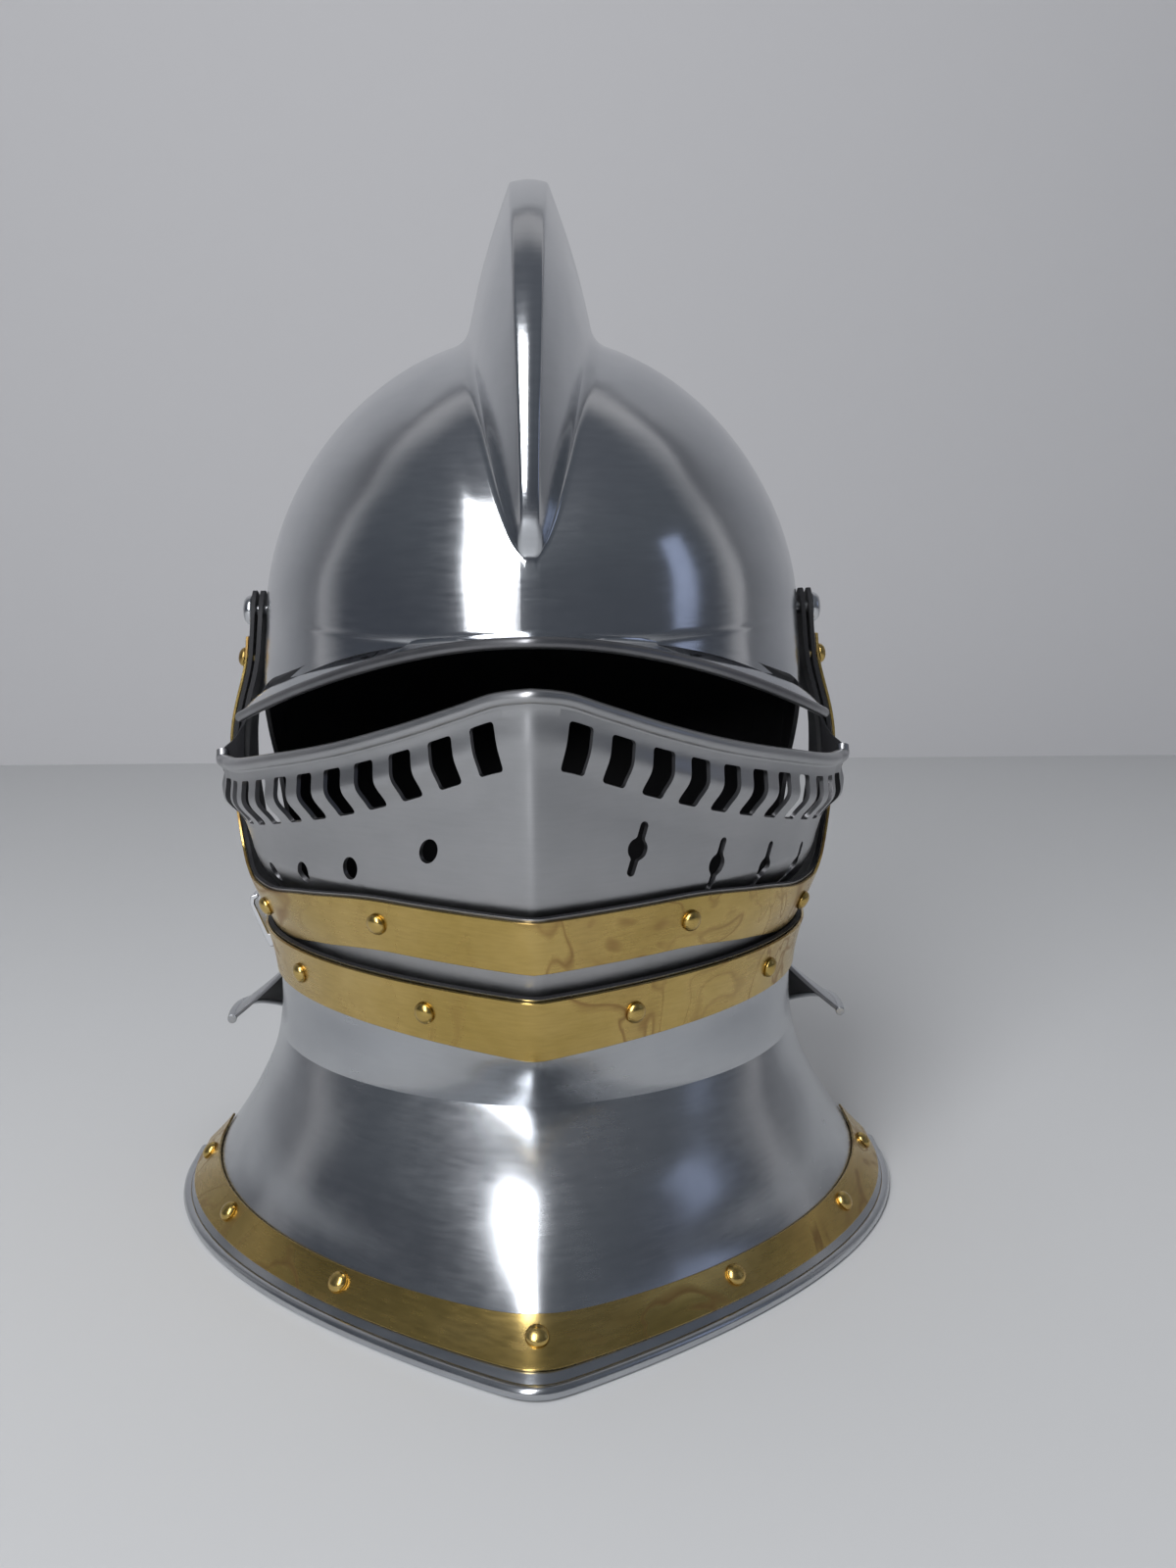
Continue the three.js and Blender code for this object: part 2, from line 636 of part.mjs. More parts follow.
function collarPlate() {
  const plate = new Plate();
  const rows = [MIDDLE_BAND_TOP + 0.8, MIDDLE_BAND_FOOT, 76, 67, 58, 42, 26, HEM_BAND_TOP, HEM_PARAM];
  plate.grid(bothSides(COLLAR_BEARINGS), rows, (bearing, z, face) => (
    facePoint(bearing, z, face === 'outer' ? COLLAR_LIFT : COLLAR_LIFT - STEEL)
  ), false);
  const hemPath = [];
  for (let k = -22; k <= 22; k += 1) {
    hemPath.push(facePoint((k / 22) * REAR_BEARING, HEM_PARAM, COLLAR_LIFT - STEEL / 2));
  }
  return solid(plate.geometry()).add(solid(wire(hemPath, HEM_RADIUS, 6, 34))).subtract(belowFloor());
}

// Rear neck guard: it laps the skull's back edge and flares to a turned rim.
const GUARD_LAP_TOP = 12;
const GUARD_STAND = 4.2;
const GUARD_FRONT_FAN = 257;
const GUARD_SIDE = 96;
const GUARD_RIM_HALF_WIDTH = SKULL_HALF_WIDTH + 27;

function guardPoint(turn, drop, lift) {
  const side = Math.sign(turn);
  const share = Math.abs(turn) / GUARD_SIDE;
  const fan = mix(NAPE_ANGLE, GUARD_FRONT_FAN, share ** 1.1);
  const width = SKULL_HALF_WIDTH;
  const reach = along(SKULL_REACH, fan);
  const edge = along(SKULL_BACK_EDGE, fan);
  const skullAt = (radius) => new THREE.Vector3(
    side * width * Math.sqrt(Math.max(0, 1 - (Math.min(radius, reach) / reach) ** SKULL_ROUNDNESS)),
    PIVOT_Y - radius * Math.cos(radians(fan)),
    PIVOT_Z + radius * Math.sin(radians(fan)),
  );
  const foot = skullAt(edge);
  const radial = new THREE.Vector3(foot.x, foot.y - PIVOT_Y - 8, 0).normalize();
  const waist = foot.clone().addScaledVector(radial, GUARD_STAND);
  const beta = radians(Math.abs(turn));
  const rimZ = 1.9 + 54 * Math.sin(beta) ** 2.4;
  const rim = new THREE.Vector3(side * GUARD_RIM_HALF_WIDTH * Math.sin(beta), 46 + 117 * Math.cos(beta), rimZ);
  if (drop <= 0) {
    const top = foot.clone().addScaledVector(radial, GUARD_STAND + 2.6 * -drop);
    top.z += GUARD_LAP_TOP * -drop;
    return top.addScaledVector(radial, lift);
  }
  const point = new THREE.Vector3(
    mix(waist.x, rim.x, drop ** 1.35),
    mix(waist.y, rim.y, drop ** 1.35),
    mix(waist.z, rim.z, drop ** 0.9),
  );
  const tilt = radial.clone().multiplyScalar(0.8).add(new THREE.Vector3(0, 0, 0.6 * drop)).normalize();
  return point.addScaledVector(tilt, lift);
}

function guardSolid() {
  const turns = [0, 16, 32, 48, 64, 80, GUARD_SIDE];
  const plate = new Plate();
  plate.grid(bothSides(turns), [-1, 0, 0.35, 0.7, 1], (turn, drop, face) => guardPoint(turn, drop, face === 'outer' ? 0 : -STEEL), false);
  const rimPath = [];
  for (let k = -14; k <= 14; k += 1) rimPath.push(guardPoint((k / 14) * GUARD_SIDE, 1, -STEEL / 2));
  return solid(plate.geometry()).add(solid(wire(rimPath, PEAK_ROLL, 6, 20))).subtract(belowFloor());
}

// A domed rivet with its shank, standing along +Z on the origin.
function rivetGeometry(shank) {
  const profile = [
    [0, -shank], [RIVET_SHANK, -shank], [RIVET_SHANK, 0], [RIVET_RADIUS, 0],
    [RIVET_RADIUS * 0.74, RIVET_HEIGHT * 0.76], [0, RIVET_HEIGHT],
  ].map(([r, h]) => new THREE.Vector2(r, h));
  const geometry = new THREE.LatheGeometry(profile, 8);
  geometry.rotateX(Math.PI / 2);
  return geometry;
}

const burgonet = new THREE.Group();
burgonet.name = 'burgonet';

function add(name, geometry, material) {
  const bare = geometry.clone();
  bare.deleteAttribute('normal');
  bare.deleteAttribute('uv');
  const merged = mergeVertices(bare, 1e-4);
  merged.computeVertexNormals();
  const mesh = new THREE.Mesh(merged, material);
  mesh.name = name;
  burgonet.add(mesh);
  return mesh;
}

// Rivets are placed first, as lists, so that the plates below them get their holes.
const rivets = [];

function placeRivet(name, foot, direction) {
  rivets.push({ name, foot, direction: direction.clone().normalize() });
}

// Each row of rivets by bearing, at one height on its band.
[-66, -27, 27, 66].forEach((bearing, k) => {
  const z = lameEdge(Math.abs(bearing)) - UPPER_BAND_HEIGHT * 0.5;
  placeRivet(`upper_rivet_${k + 1}`, facePoint(bearing, z, BAND_LIFT_OUT + TOUCH_GAP), outward(facePlan, bearing, z));
});
[-1, 1].forEach((side, k) => {
  const bearing = side * 87.2;
  placeRivet(`upper_rivet_${k + 5}`, facePoint(bearing, 206, BAND_LIFT_OUT + TOUCH_GAP * 2.4), outward(facePlan, bearing, 206));
});
[-54, -19, 17, 54].forEach((bearing, k) => {
  const z = (MIDDLE_BAND_TOP + MIDDLE_BAND_FOOT) / 2;
  const lift = COLLAR_LIFT + BRASS_GAP + BRASS + TOUCH_GAP;
  placeRivet(`middle_rivet_${k + 1}`, facePoint(bearing, z, lift), outward(facePlan, bearing, z));
});
[-84, -58, -29, 0, 29, 58, 84].forEach((bearing, k) => {
  const z = (HEM_BAND_TOP + HEM_BAND_FOOT) / 2 + 0.4;
  const lift = COLLAR_LIFT + BRASS_GAP + BRASS + TOUCH_GAP;
  placeRivet(`hem_rivet_${k + 1}`, facePoint(bearing, z, lift + (bearing === 0 ? 0.9 : TOUCH_GAP)), outward(facePlan, bearing, z));
});

// Cuts the shank holes of the rivets whose names start with a word.
function drilled(body, word) {
  let result = body;
  for (const rivet of rivets.filter((r) => r.name.startsWith(word))) {
    result = result.subtract(solid(bar(rivet.foot, rivet.direction, RIVET_HOLE, 14, 6)));
  }
  return result;
}

// Neck guard rivets: one behind and one on each side, through the lap.
const GUARD_RIVETS = [0, -62, 62];
GUARD_RIVETS.forEach((turn, k) => {
  const on = guardPoint(turn, -0.5, TOUCH_GAP * 3);
  placeRivet(`neck_guard_rivet_${k + 1}`, on, on.clone().sub(guardPoint(turn, -0.5, -6)));
});

add('skull', surfaceOf(drilled(solid(skullShell()).add(peakSolid()), 'neck_guard')), steelFinish);
add('visor', visorGeometry(), steelFinish);

const lamePlate = (out, inside) => {
  const bearings = [...FACE_BEARINGS, ...ARM_BEARINGS];
  return solid(facePlate(bearings, LAME_ROWS, lameEdge, () => LAME_FOOT, out, inside));
};
const lameBody = lamePlate(LAME_LIFT, SLIDE_GAP);
add('middle_lame', surfaceOf(drilled(lameBody.subtract(pivotHoles()), 'upper')), steelFinish);
add('front_collar', surfaceOf(drilled(drilled(collarPlate(), 'middle'), 'hem')), steelFinish);

const upperBand = lamePlate(BAND_LIFT_OUT, BAND_LIFT_IN).intersect(upperBandOutline());
add('brass_band_upper', surfaceOf(drilled(upperBand, 'upper')), brassFinish);
const bandIn = COLLAR_LIFT + BRASS_GAP;
const middleBand = facePlate(
  COLLAR_BEARINGS, [0, 1], () => MIDDLE_BAND_TOP, () => MIDDLE_BAND_FOOT, bandIn + BRASS, bandIn,
);
add('brass_band_middle', surfaceOf(drilled(solid(middleBand), 'middle')), brassFinish);
const hemBand = facePlate(
  COLLAR_BEARINGS, [0, 1], () => HEM_BAND_TOP, () => HEM_BAND_FOOT, bandIn + BRASS, bandIn,
);
add('brass_band_hem', surfaceOf(drilled(solid(hemBand), 'hem')), brassFinish);
add('neck_guard', surfaceOf(drilled(guardSolid(), 'neck_guard')), steelFinish);

for (const rivet of rivets) {
  const guard = rivet.name.startsWith('neck_guard');
  const mesh = add(rivet.name, rivetGeometry(guard ? 4 : 3.4), guard ? boltFinish : brassFinish);
  mesh.position.copy(rivet.foot);
  mesh.quaternion.setFromUnitVectors(new THREE.Vector3(0, 0, 1), rivet.direction);
}

// Side catch on the wearer's right: a sprung strap that stands off the middle band.
const catchX = -facePoint(90, 100, COLLAR_LIFT + BRASS_GAP + BRASS).x;
const strap = new THREE.Shape();
[
  [-0.5, 92], [-2.4, 92], [-4.4, 96], [-9.6, 109], [-9.2, 112.5], [-6.4, 113.5], [-5.8, 112], [-7.4, 111], [-7.6, 109.4],
  [-2.6, 97.4], [-0.5, 97],
].forEach(([x, z], k) => (k === 0 ? strap.moveTo(x, z) : strap.lineTo(x, z)));
strap.closePath();
const strapBar = new THREE.ExtrudeGeometry(strap, { depth: 9, bevelEnabled: false });
strapBar.rotateX(Math.PI / 2);
strapBar.translate(catchX - 0.4, 16, 0);
add('side_catch', strapBar, boltFinish);

// Pivot bolts: a flat collar inside the skull, a shank through the plates and a domed head outside.
const BOLT_HEAD_IN = facePoint(90, PIVOT_Z, LAME_LIFT).x + TOUCH_GAP * 3.5;
for (const side of [-1, 1]) {
  const head = BOLT_HEAD_IN;
  const inside = SKULL_HALF_WIDTH - STEEL - TOUCH_GAP - 0.4;
  const profile = [
    [0, inside - 2], [5.2, inside - 2], [5.2, inside], [PIVOT_SHANK, inside], [PIVOT_SHANK, head], [5.6, head],
    [5.6, head + 1], [4.2, head + 2.8], [0, head + 3.4],
  ].map(([r, h]) => new THREE.Vector2(r, h));
  const bolt = new THREE.LatheGeometry(profile, 14);
  const mesh = add(side < 0 ? 'pivot_bolt_right' : 'pivot_bolt_left', bolt, boltFinish);
  mesh.position.set(0, PIVOT_Y, PIVOT_Z);
  mesh.rotation.z = side < 0 ? Math.PI / 2 : -Math.PI / 2;
}

// The origin is below the middle of the whole box.
burgonet.position.y = CENTRE_SHIFT;
const standing = new THREE.Group();
standing.add(burgonet);

export default standing;
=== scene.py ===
# Burgonet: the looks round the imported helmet. Geometry is written in millimetres in the
# CAD's own frame and turned into metres when a mesh is made.

import math

import bpy
import numpy as np
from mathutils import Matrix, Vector


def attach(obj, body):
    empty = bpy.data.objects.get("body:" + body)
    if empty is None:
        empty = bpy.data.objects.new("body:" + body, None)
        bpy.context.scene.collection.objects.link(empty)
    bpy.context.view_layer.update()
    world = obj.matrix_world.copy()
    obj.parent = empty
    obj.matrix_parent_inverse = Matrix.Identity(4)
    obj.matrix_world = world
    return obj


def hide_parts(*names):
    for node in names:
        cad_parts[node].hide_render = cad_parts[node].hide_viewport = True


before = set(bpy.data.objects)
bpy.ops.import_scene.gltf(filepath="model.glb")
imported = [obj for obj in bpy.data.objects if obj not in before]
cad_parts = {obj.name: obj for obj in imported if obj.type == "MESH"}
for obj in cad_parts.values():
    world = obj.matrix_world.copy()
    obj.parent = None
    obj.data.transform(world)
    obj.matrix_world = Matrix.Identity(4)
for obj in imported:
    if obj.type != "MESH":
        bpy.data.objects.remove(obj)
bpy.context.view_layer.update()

# Driving dimensions, as in the CAD
STEEL = 1.6
BRASS = 1.0
SLIDE_GAP = 1.45
COLLAR_GAP = 1.7
BRASS_GAP = 0.35
CENTRE_SHIFT = 5.48
PIVOT_Y = 10.0
PIVOT_Z = 224.0
PIVOT_HOLE = 3.2
SKULL_HALF_WIDTH = 101.0
SKULL_ROUNDNESS = 1.75
COMB_HEIGHT = 55.0
COMB_BASE = 24.5
COMB_SPINE = 7.2
COMB_TIP = 2.3
COMB_FRONT = 8.0
COMB_BACK = 192.0
BROW = -2.3
NAPE = 232.0
SLOT_COUNT = 11
SLOT_PITCH = 15.0
SLOT_WIDTH = 8.4
FIRST_SLOT = 16.6
SLOT_TOP = 6.0
SLOT_FOOT = 22.0
SLOT_LEAN = 3.0
SLOT_CORNER = 1.2
BREATHS = (1.5, 4, 6, 8)
BREATH_DEPTH = 40.0
BREATH_RADIUS = 3.9
BREATH_SLIT = 9.6
SLIT_HALF_WIDTH = 1.6
SLIT_LEAN = 2.8
UPPER_BAND_HEIGHT = 17.0
MIDDLE_BAND_TOP = 109.5
MIDDLE_BAND_FOOT = 89.8
HEM_BAND_TOP = 12.5
HEM_BAND_FOOT = 1.2
HEM_RADIUS = 2.3
HEM_PARAM = -2.1
BEAD_RADIUS = 2.4
PEAK_ROLL = 1.9
REAR_BEARING = 98.0
REAR_STEP = 2.0
NECK_CREASE = 65
ARM_DRAW_IN = 4.4
DRAW_REACH = 50.0
DRAW_FULL_REACH = 18.0
ARM_TOE_IN = 3.4
TOE_TOP = 212.0
TOE_TOP_FADE = 17.0
TOE_FOOT = 112.0
TOE_FOOT_FADE = 16.0

KEEL_LINE = [
    (-6, -174), (-2, -169), (12, -150), (40, -126), (55, -109), (NECK_CREASE, -98), (78, -109.5),
    (90, -118.5), (110, -124.5), (120, -128), (135, -132), (160, -136.5), (185, -138.5), (203, -139),
    (240, -128),
]
SIDE_STAND = [
    (-6, 36), (-2, 32.5), (12, 19), (40, 2), (55, -4.5), (64, -6.5), (78, -8), (90, -7.5),
    (110, -3), (120, 2.5), (130, 6.5), (146, 9.4), (166, 11.4), (186, 10.8), (206, 9.2),
    (224, 8), (240, 7.6),
]
WEDGE = [
    (0, 0.74), (16, 0.58), (40, 0.26), (58, 0.14), (66, 0.1), (76, 0.3),
    (90, 0.62), (135, 0.66), (203, 0.68), (240, 0.6),
]
KEEL_SOFTNESS = [(-6, 1.2), (4, 1.4), (12, 2.4), (30, 5), (56, 5), (64, 3), (72, 1.4), (80, 0.8), (240, 0.8)]


def along(table, at):
    """A smooth curve through the pairs of a table, without overshoot between them."""
    xs, ys = np.array(table, float).T
    slope = np.diff(ys) / np.diff(xs)
    tangent = np.empty_like(ys)
    tangent[0] = slope[0]
    tangent[-1] = slope[-1]
    before, after = slope[:-1], slope[1:]
    total = np.where(before + after == 0, 1, before + after)
    tangent[1:-1] = np.where(before * after <= 0, 0, 2 * before * after / total)
    x = np.clip(np.asarray(at, float), xs[0], xs[-1])
    i = np.clip(np.searchsorted(xs, x, side="left") - 1, 0, len(xs) - 2)
    span = xs[i + 1] - xs[i]
    t = (x - xs[i]) / span
    a = tangent[i] * span
    b = tangent[i + 1] * span
    rise = ys[i + 1] - ys[i]
    return ys[i] + a * t + (3 * rise - 2 * a - b) * t * t + (a + b - 2 * rise) * t ** 3


def eased(table, at, reach):
    """The same curve averaged over a short reach, so that reflections run smoothly across its pairs."""
    parts = [(-1, 1), (-0.5, 2), (0, 2), (0.5, 2), (1, 1)]
    return sum(w * along(table, np.asarray(at, float) + s * reach) for s, w in parts) / 8


def mix(a, b, t):
    return a + (b - a) * t


def stack(x, y, z):
    x, y, z = np.broadcast_arrays(x, y, z)
    return np.stack([x, y, z], axis=-1).astype(float)


def unit(v):
    return v / np.maximum(np.linalg.norm(v, axis=-1, keepdims=True), 1e-9)


def gradual(t):
    """A soft step from 0 to 1 as t goes from 0 to 1."""
    t = np.clip(t, 0, 1)
    return t * t * (3 - 2 * t)


def keel_line(z):
    """The keel from the side, with a crease where the neck turns into the flare."""
    below = eased([pair for pair in KEEL_LINE if pair[0] <= NECK_CREASE], np.minimum(z, NECK_CREASE), 0.8)
    above = eased([pair for pair in KEEL_LINE if pair[0] >= NECK_CREASE], np.maximum(z, NECK_CREASE), 0.8)
    return np.where(z < NECK_CREASE, below, above)


def face_plan(bearing, z):
    """The face plates' common form: bearing 0 is the keel, 90 the pivots, and past 90 it runs to the rear."""
    bearing, z = np.broadcast_arrays(np.asarray(bearing, float), np.asarray(z, float))
    turn = np.abs(bearing)
    side = np.sign(bearing)
    depth = PIVOT_Y - keel_line(z)
    width = SKULL_HALF_WIDTH + eased(SIDE_STAND, z, 4.0)
    wedge = eased(WEDGE, z, 3.0)
    softness = along(KEEL_SOFTNESS, z)
    soft = np.hypot(turn, softness) - softness
    soft = soft * 90 / (np.hypot(90, softness) - softness)
    forward = mix(np.cos(np.radians(turn)), 1 - soft / 90, wedge)
    y = np.where(turn > 90, PIVOT_Y + (turn - 90) * REAR_STEP, PIVOT_Y - depth * forward)
    reach = np.hypot(y - PIVOT_Y, z - PIVOT_Z)
    width = width - ARM_DRAW_IN * gradual((DRAW_REACH - reach) / (DRAW_REACH - DRAW_FULL_REACH))
    behind = np.maximum(0, turn - 90) / (REAR_BEARING - 90)
    toe = behind * gradual((TOE_TOP - z) / TOE_TOP_FADE) * gradual((z - TOE_FOOT) / TOE_FOOT_FADE)
    width = width - ARM_TOE_IN * toe
    x = side * width * np.sin(np.radians(np.minimum(turn, 90)))
    return stack(x, y, z)


def outward(surface, u, v):
    """The outward direction of a surface of two values."""
    u = np.asarray(u, float)
    v = np.asarray(v, float)
    across = surface(u + 0.02, v) - surface(u - 0.02, v)
    up = surface(u, v + 0.05) - surface(u, v - 0.05)
    return unit(np.cross(across, up))


def face_point(bearing, z, lift):
    return face_plan(bearing, z) + outward(face_plan, bearing, z) * np.asarray(lift, float)[..., None]


# Meshes

class Sheet:
    """Quads of a thin plate's outer face, each corner with its outward direction."""

    def __init__(self):
        self.points = []
        self.normals = []
        self.faces = []
        self.found = {}

    def corner(self, point, normal):
        key = (round(point[0] * 500), round(point[1] * 500), round(point[2] * 500))
        if key not in self.found:
            self.found[key] = len(self.points)
            self.points.append(tuple(point))
            self.normals.append(tuple(normal))
        return self.found[key]

    def face(self, *corners):
        clean = []
        for c in corners:
            if c not in clean:
                clean.append(c)
        if len(clean) > 2:
            self.faces.append(tuple(clean))

    def grid(self, points, normals, skip=None):
        rows, columns = points.shape[:2]
        i, j = rows // 2, columns // 2
        turned = np.cross(points[i, j] - points[i - 1, j], points[i, j] - points[i, j - 1])
        flip = float(turned @ normals[i, j]) < 0
        index = np.empty((rows, columns), int)
        for i in range(rows):
            for j in range(columns):
                index[i, j] = self.corner(points[i, j], normals[i, j])
        for i in range(rows - 1):
            for j in range(columns - 1):
                if skip is not None and skip[i, j]:
                    continue
                quad = (index[i, j], index[i + 1, j], index[i + 1, j + 1], index[i, j + 1])
                self.face(*(quad[::-1] if flip else quad))

    def closed(self, thickness, open_edge=()):
        """Points, faces and face kinds of the plate: 0 outside, 1 inside, 2 the cut edges."""
        outer = np.array(self.points)
        inner = outer - np.array(self.normals) * thickness
        count = len(outer)
        edges = set()
        for f in self.faces:
            for a, b in zip(f, f[1:] + f[:1]):
                edges.add((a, b))
        faces = list(self.faces)
        kinds = [0] * len(faces)
        for f in self.faces:
            faces.append(tuple(c + count for c in reversed(f)))
            kinds.append(1)
        for a, b in sorted(edges):
            if (b, a) not in edges and not (a in open_edge and b in open_edge):
                faces.append((b, a, a + count, b + count))
                kinds.append(2)
        return np.vstack([outer, inner]), faces, kinds


def grid_normals(points, towards):
    """Directions across a grid of points, on the side where the middle one agrees with towards."""
    normals = unit(np.cross(np.gradient(points, axis=0), np.gradient(points, axis=1)))
    middle = normals[points.shape[0] // 2, points.shape[1] // 2]
    return normals if float(middle @ np.array(towards, float)) > 0 else -normals


def ring_faces(rings, sides):
    """Faces between rings of points that follow one another, with a cap on each end."""
    faces = []
    for i in range(rings - 1):
        for k in range(sides):
            n = (k + 1) % sides
            faces.append((i * sides + k, i * sides + n, (i + 1) * sides + n, (i + 1) * sides + k))
    faces.append(tuple(range(sides))[::-1])
    faces.append(tuple((rings - 1) * sides + k for k in range(sides)))
    return faces


WIRE_SIDES = 14


def tube(path, radius):
    """A round wire with closed ends along a list of points."""
    path = np.array(path, float)
    ahead = unit(np.gradient(path, axis=0))
    first = unit(np.cross(ahead, [0.0, 0.0, 1.0]))
    second = unit(np.cross(first, ahead))
    turns = np.arange(WIRE_SIDES) * 2 * math.pi / WIRE_SIDES
    rings = (path[:, None] + radius * np.cos(turns)[None, :, None] * first[:, None]
             + radius * np.sin(turns)[None, :, None] * second[:, None])
    return rings.reshape(-1, 3), ring_faces(len(path), WIRE_SIDES)


def lathe(profile, sides, foot, direction, lump=0.0, seed=1):
    """A turned piece: the profile's pairs are radius and height along the direction."""
    direction = Vector(direction).normalized()
    turn = Vector((0, 0, 1)).rotation_difference(direction).to_matrix()
    chance = np.random.default_rng(seed)
    wave = chance.uniform(0, 2 * math.pi, 3)
    points = []
    for radius, height in profile:
        for k in range(sides):
            a = 2 * math.pi * k / sides
            swell = 1 + lump * (math.sin(2 * a + wave[0]) + 0.6 * math.sin(3 * a + wave[1]))
            bob = lump * 2.2 * radius * math.sin(a + wave[2]) * (height > 0.8)
            p = turn @ Vector((radius * swell * math.cos(a), radius * swell * math.sin(a), height + bob))
            points.append((p.x + foot[0], p.y + foot[1], p.z + foot[2]))
    return np.array(points), ring_faces(len(profile), sides)


def above_floor(points):
    return np.maximum(points, [-np.inf, -np.inf, 0.0])


def piece(name, parts, body, materials, replaced, sharp=38, round_edges=0.3):
    """One mesh object from (points, faces, kinds) parts. A kind is the place of a material in the list."""
    points = []
    faces = []
    kinds = []
    for part in parts:
        base = len(points)
        points.extend((p[0] / 1000, (p[1] + CENTRE_SHIFT) / 1000, p[2] / 1000) for p in part[0])
        faces.extend(tuple(int(c) + base for c in f) for f in part[1])
        kinds.extend(part[2] if len(part) > 2 else [0] * len(part[1]))
    mesh = bpy.data.meshes.new(name)
    mesh.from_pydata(points, [], faces)
    mesh.validate()
    for m in materials:
        mesh.materials.append(m)
    if len(mesh.polygons) == len(kinds):
        mesh.polygons.foreach_set("material_index", [min(k, len(materials) - 1) for k in kinds])
    mesh.polygons.foreach_set("use_smooth", [True] * len(mesh.polygons))
    mesh.update()
    obj = bpy.data.objects.new(name, mesh)
    bpy.context.scene.collection.objects.link(obj)
    if round_edges:
        bevel = obj.modifiers.new("worn edges", "BEVEL")
        bevel.width = round_edges / 1000
        bevel.segments = 2
        bevel.limit_method = "ANGLE"
        bevel.angle_limit = math.radians(50)
        bevel.use_clamp_overlap = True
        bevel.harden_normals = True
    mesh.set_sharp_from_angle(angle=math.radians(sharp))
    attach(obj, body)
    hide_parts(*replaced)


# Materials

def shader(name):
    material = bpy.data.materials.new(name)
    material.use_nodes = True
    tree = material.node_tree
    return material, tree, tree.nodes["Principled BSDF"]


def link(tree, source, output, target, socket):
    tree.links.new(source.outputs[output], target.inputs[socket])


def noise(tree, scale, detail=3.0, stretch=(1, 1, 1), roughness=0.5, distortion=0.0):
    place = tree.nodes.new("ShaderNodeTexCoord")
    moved = tree.nodes.new("ShaderNodeMapping")
    moved.inputs["Scale"].default_value = stretch
    link(tree, place, "Object", moved, "Vector")
    node = tree.nodes.new("ShaderNodeTexNoise")
    node.inputs["Scale"].default_value = scale
    node.inputs["Detail"].default_value = detail
    node.inputs["Roughness"].default_value = roughness
    node.inputs["Distortion"].default_value = distortion
    link(tree, moved, "Vector", node, "Vector")
    return node


def ramp(tree, source, stops, output="Fac"):
    """Each stop is a place and a grey value or a colour."""
    node = tree.nodes.new("ShaderNodeValToRGB")
    element = node.color_ramp.elements
    while len(element) > 1:
        element.remove(element[-1])
    for k, (place, colour) in enumerate(stops):
        value = colour if isinstance(colour, tuple) else (colour, colour, colour)
        e = element[0] if k == 0 else element.new(place)
        e.position = place
        e.color = (*value, 1)
    link(tree, source, output, node, "Fac")
    return node


def blend_colour(tree, share, share_socket, a, b, mode="MIX"):
    """a and b are colours or nodes with a Color output."""
    node = tree.nodes.new("ShaderNodeMix")
    node.data_type = "RGBA"
    node.blend_type = mode
    if share is None:
        node.inputs["Factor"].default_value = share_socket
    else:
        link(tree, share, share_socket, node, "Factor")
    for value, socket in ((a, node.inputs[6]), (b, node.inputs[7])):
        if isinstance(value, tuple):
            socket.default_value = (*value, 1)
        else:
            tree.links.new(colour_of(value), socket)
    return node


def colour_of(node):
    return node.outputs[2 if node.bl_idname == "ShaderNodeMix" else 0]


def spread(tree, source, output, span, onto=(0.0, 1.0)):
    """A value taken from one range onto another."""
    node = tree.nodes.new("ShaderNodeMapRange")
    for socket, value in zip(("From Min", "From Max", "To Min", "To Max"), (*span, *onto)):
        node.inputs[socket].default_value = value
    link(tree, source, output, node, "Value")
    return node


def arithmetic(tree, operation, *terms):
    """Each term is a number or a pair of node and output."""
    node = tree.nodes.new("ShaderNodeMath")
    node.operation = operation
    for k, term in enumerate(terms):
        if isinstance(term, tuple):
            link(tree, *term, node, k)
        else:
            node.inputs[k].default_value = term
    return node


def bump(tree, source, output, strength, distance, below=None):
    node = tree.nodes.new("ShaderNodeBump")
    node.inputs["Strength"].default_value = strength
    node.inputs["Distance"].default_value = distance
    link(tree, source, output, node, "Height")
    if below is not None:
        link(tree, below, "Normal", node, "Normal")
    return node


def steel(name, colour, shade, rough, rough_spread, brush_stretch, brush, wave=0.25, pitting=0.1):
    """Bare steel with cloudy tone, smeared gloss, fine brush lines, soft waves and small pits."""
    material, tree, surface = shader(name)
    surface.inputs["Metallic"].default_value = 1.0
    cloud = noise(tree, 14, 4, roughness=0.6)
    cloud_ramp = ramp(tree, cloud, [(0.3, 0.0), (0.7, 1.0)])
    base = blend_colour(tree, cloud_ramp, "Color", shade, colour)
    lines = noise(tree, 90, 3, stretch=brush_stretch, roughness=0.65)
    lines_ramp = ramp(tree, lines, [(0.32, 0.9), (0.6, 1.0)])
    lined = blend_colour(tree, None, 0.4, base, lines_ramp, "MULTIPLY")
    tree.links.new(colour_of(lined), surface.inputs["Base Color"])
    smear = noise(tree, 26, 5, stretch=(1, 1, 0.5), roughness=0.62)
    span = spread(tree, smear, "Fac", (0.25, 0.75), (rough - rough_spread, rough + rough_spread))
    fine = arithmetic(tree, "MULTIPLY_ADD", (lines, "Fac"), 0.09, (span, "Result"))
    link(tree, fine, "Value", surface, "Roughness")
    wavy = noise(tree, 20, 2.0)
    first = bump(tree, wavy, "Fac", wave, 0.0012)
    second = bump(tree, lines, "Fac", brush, 0.00012, first)
    pits = noise(tree, 520, 2, roughness=0.4)
    pit_ramp = ramp(tree, pits, [(0.24, 0.0), (0.31, 1.0)])
    third = bump(tree, pit_ramp, "Color", pitting, 0.00005, second)
    link(tree, third, "Normal", surface, "Normal")
    return material


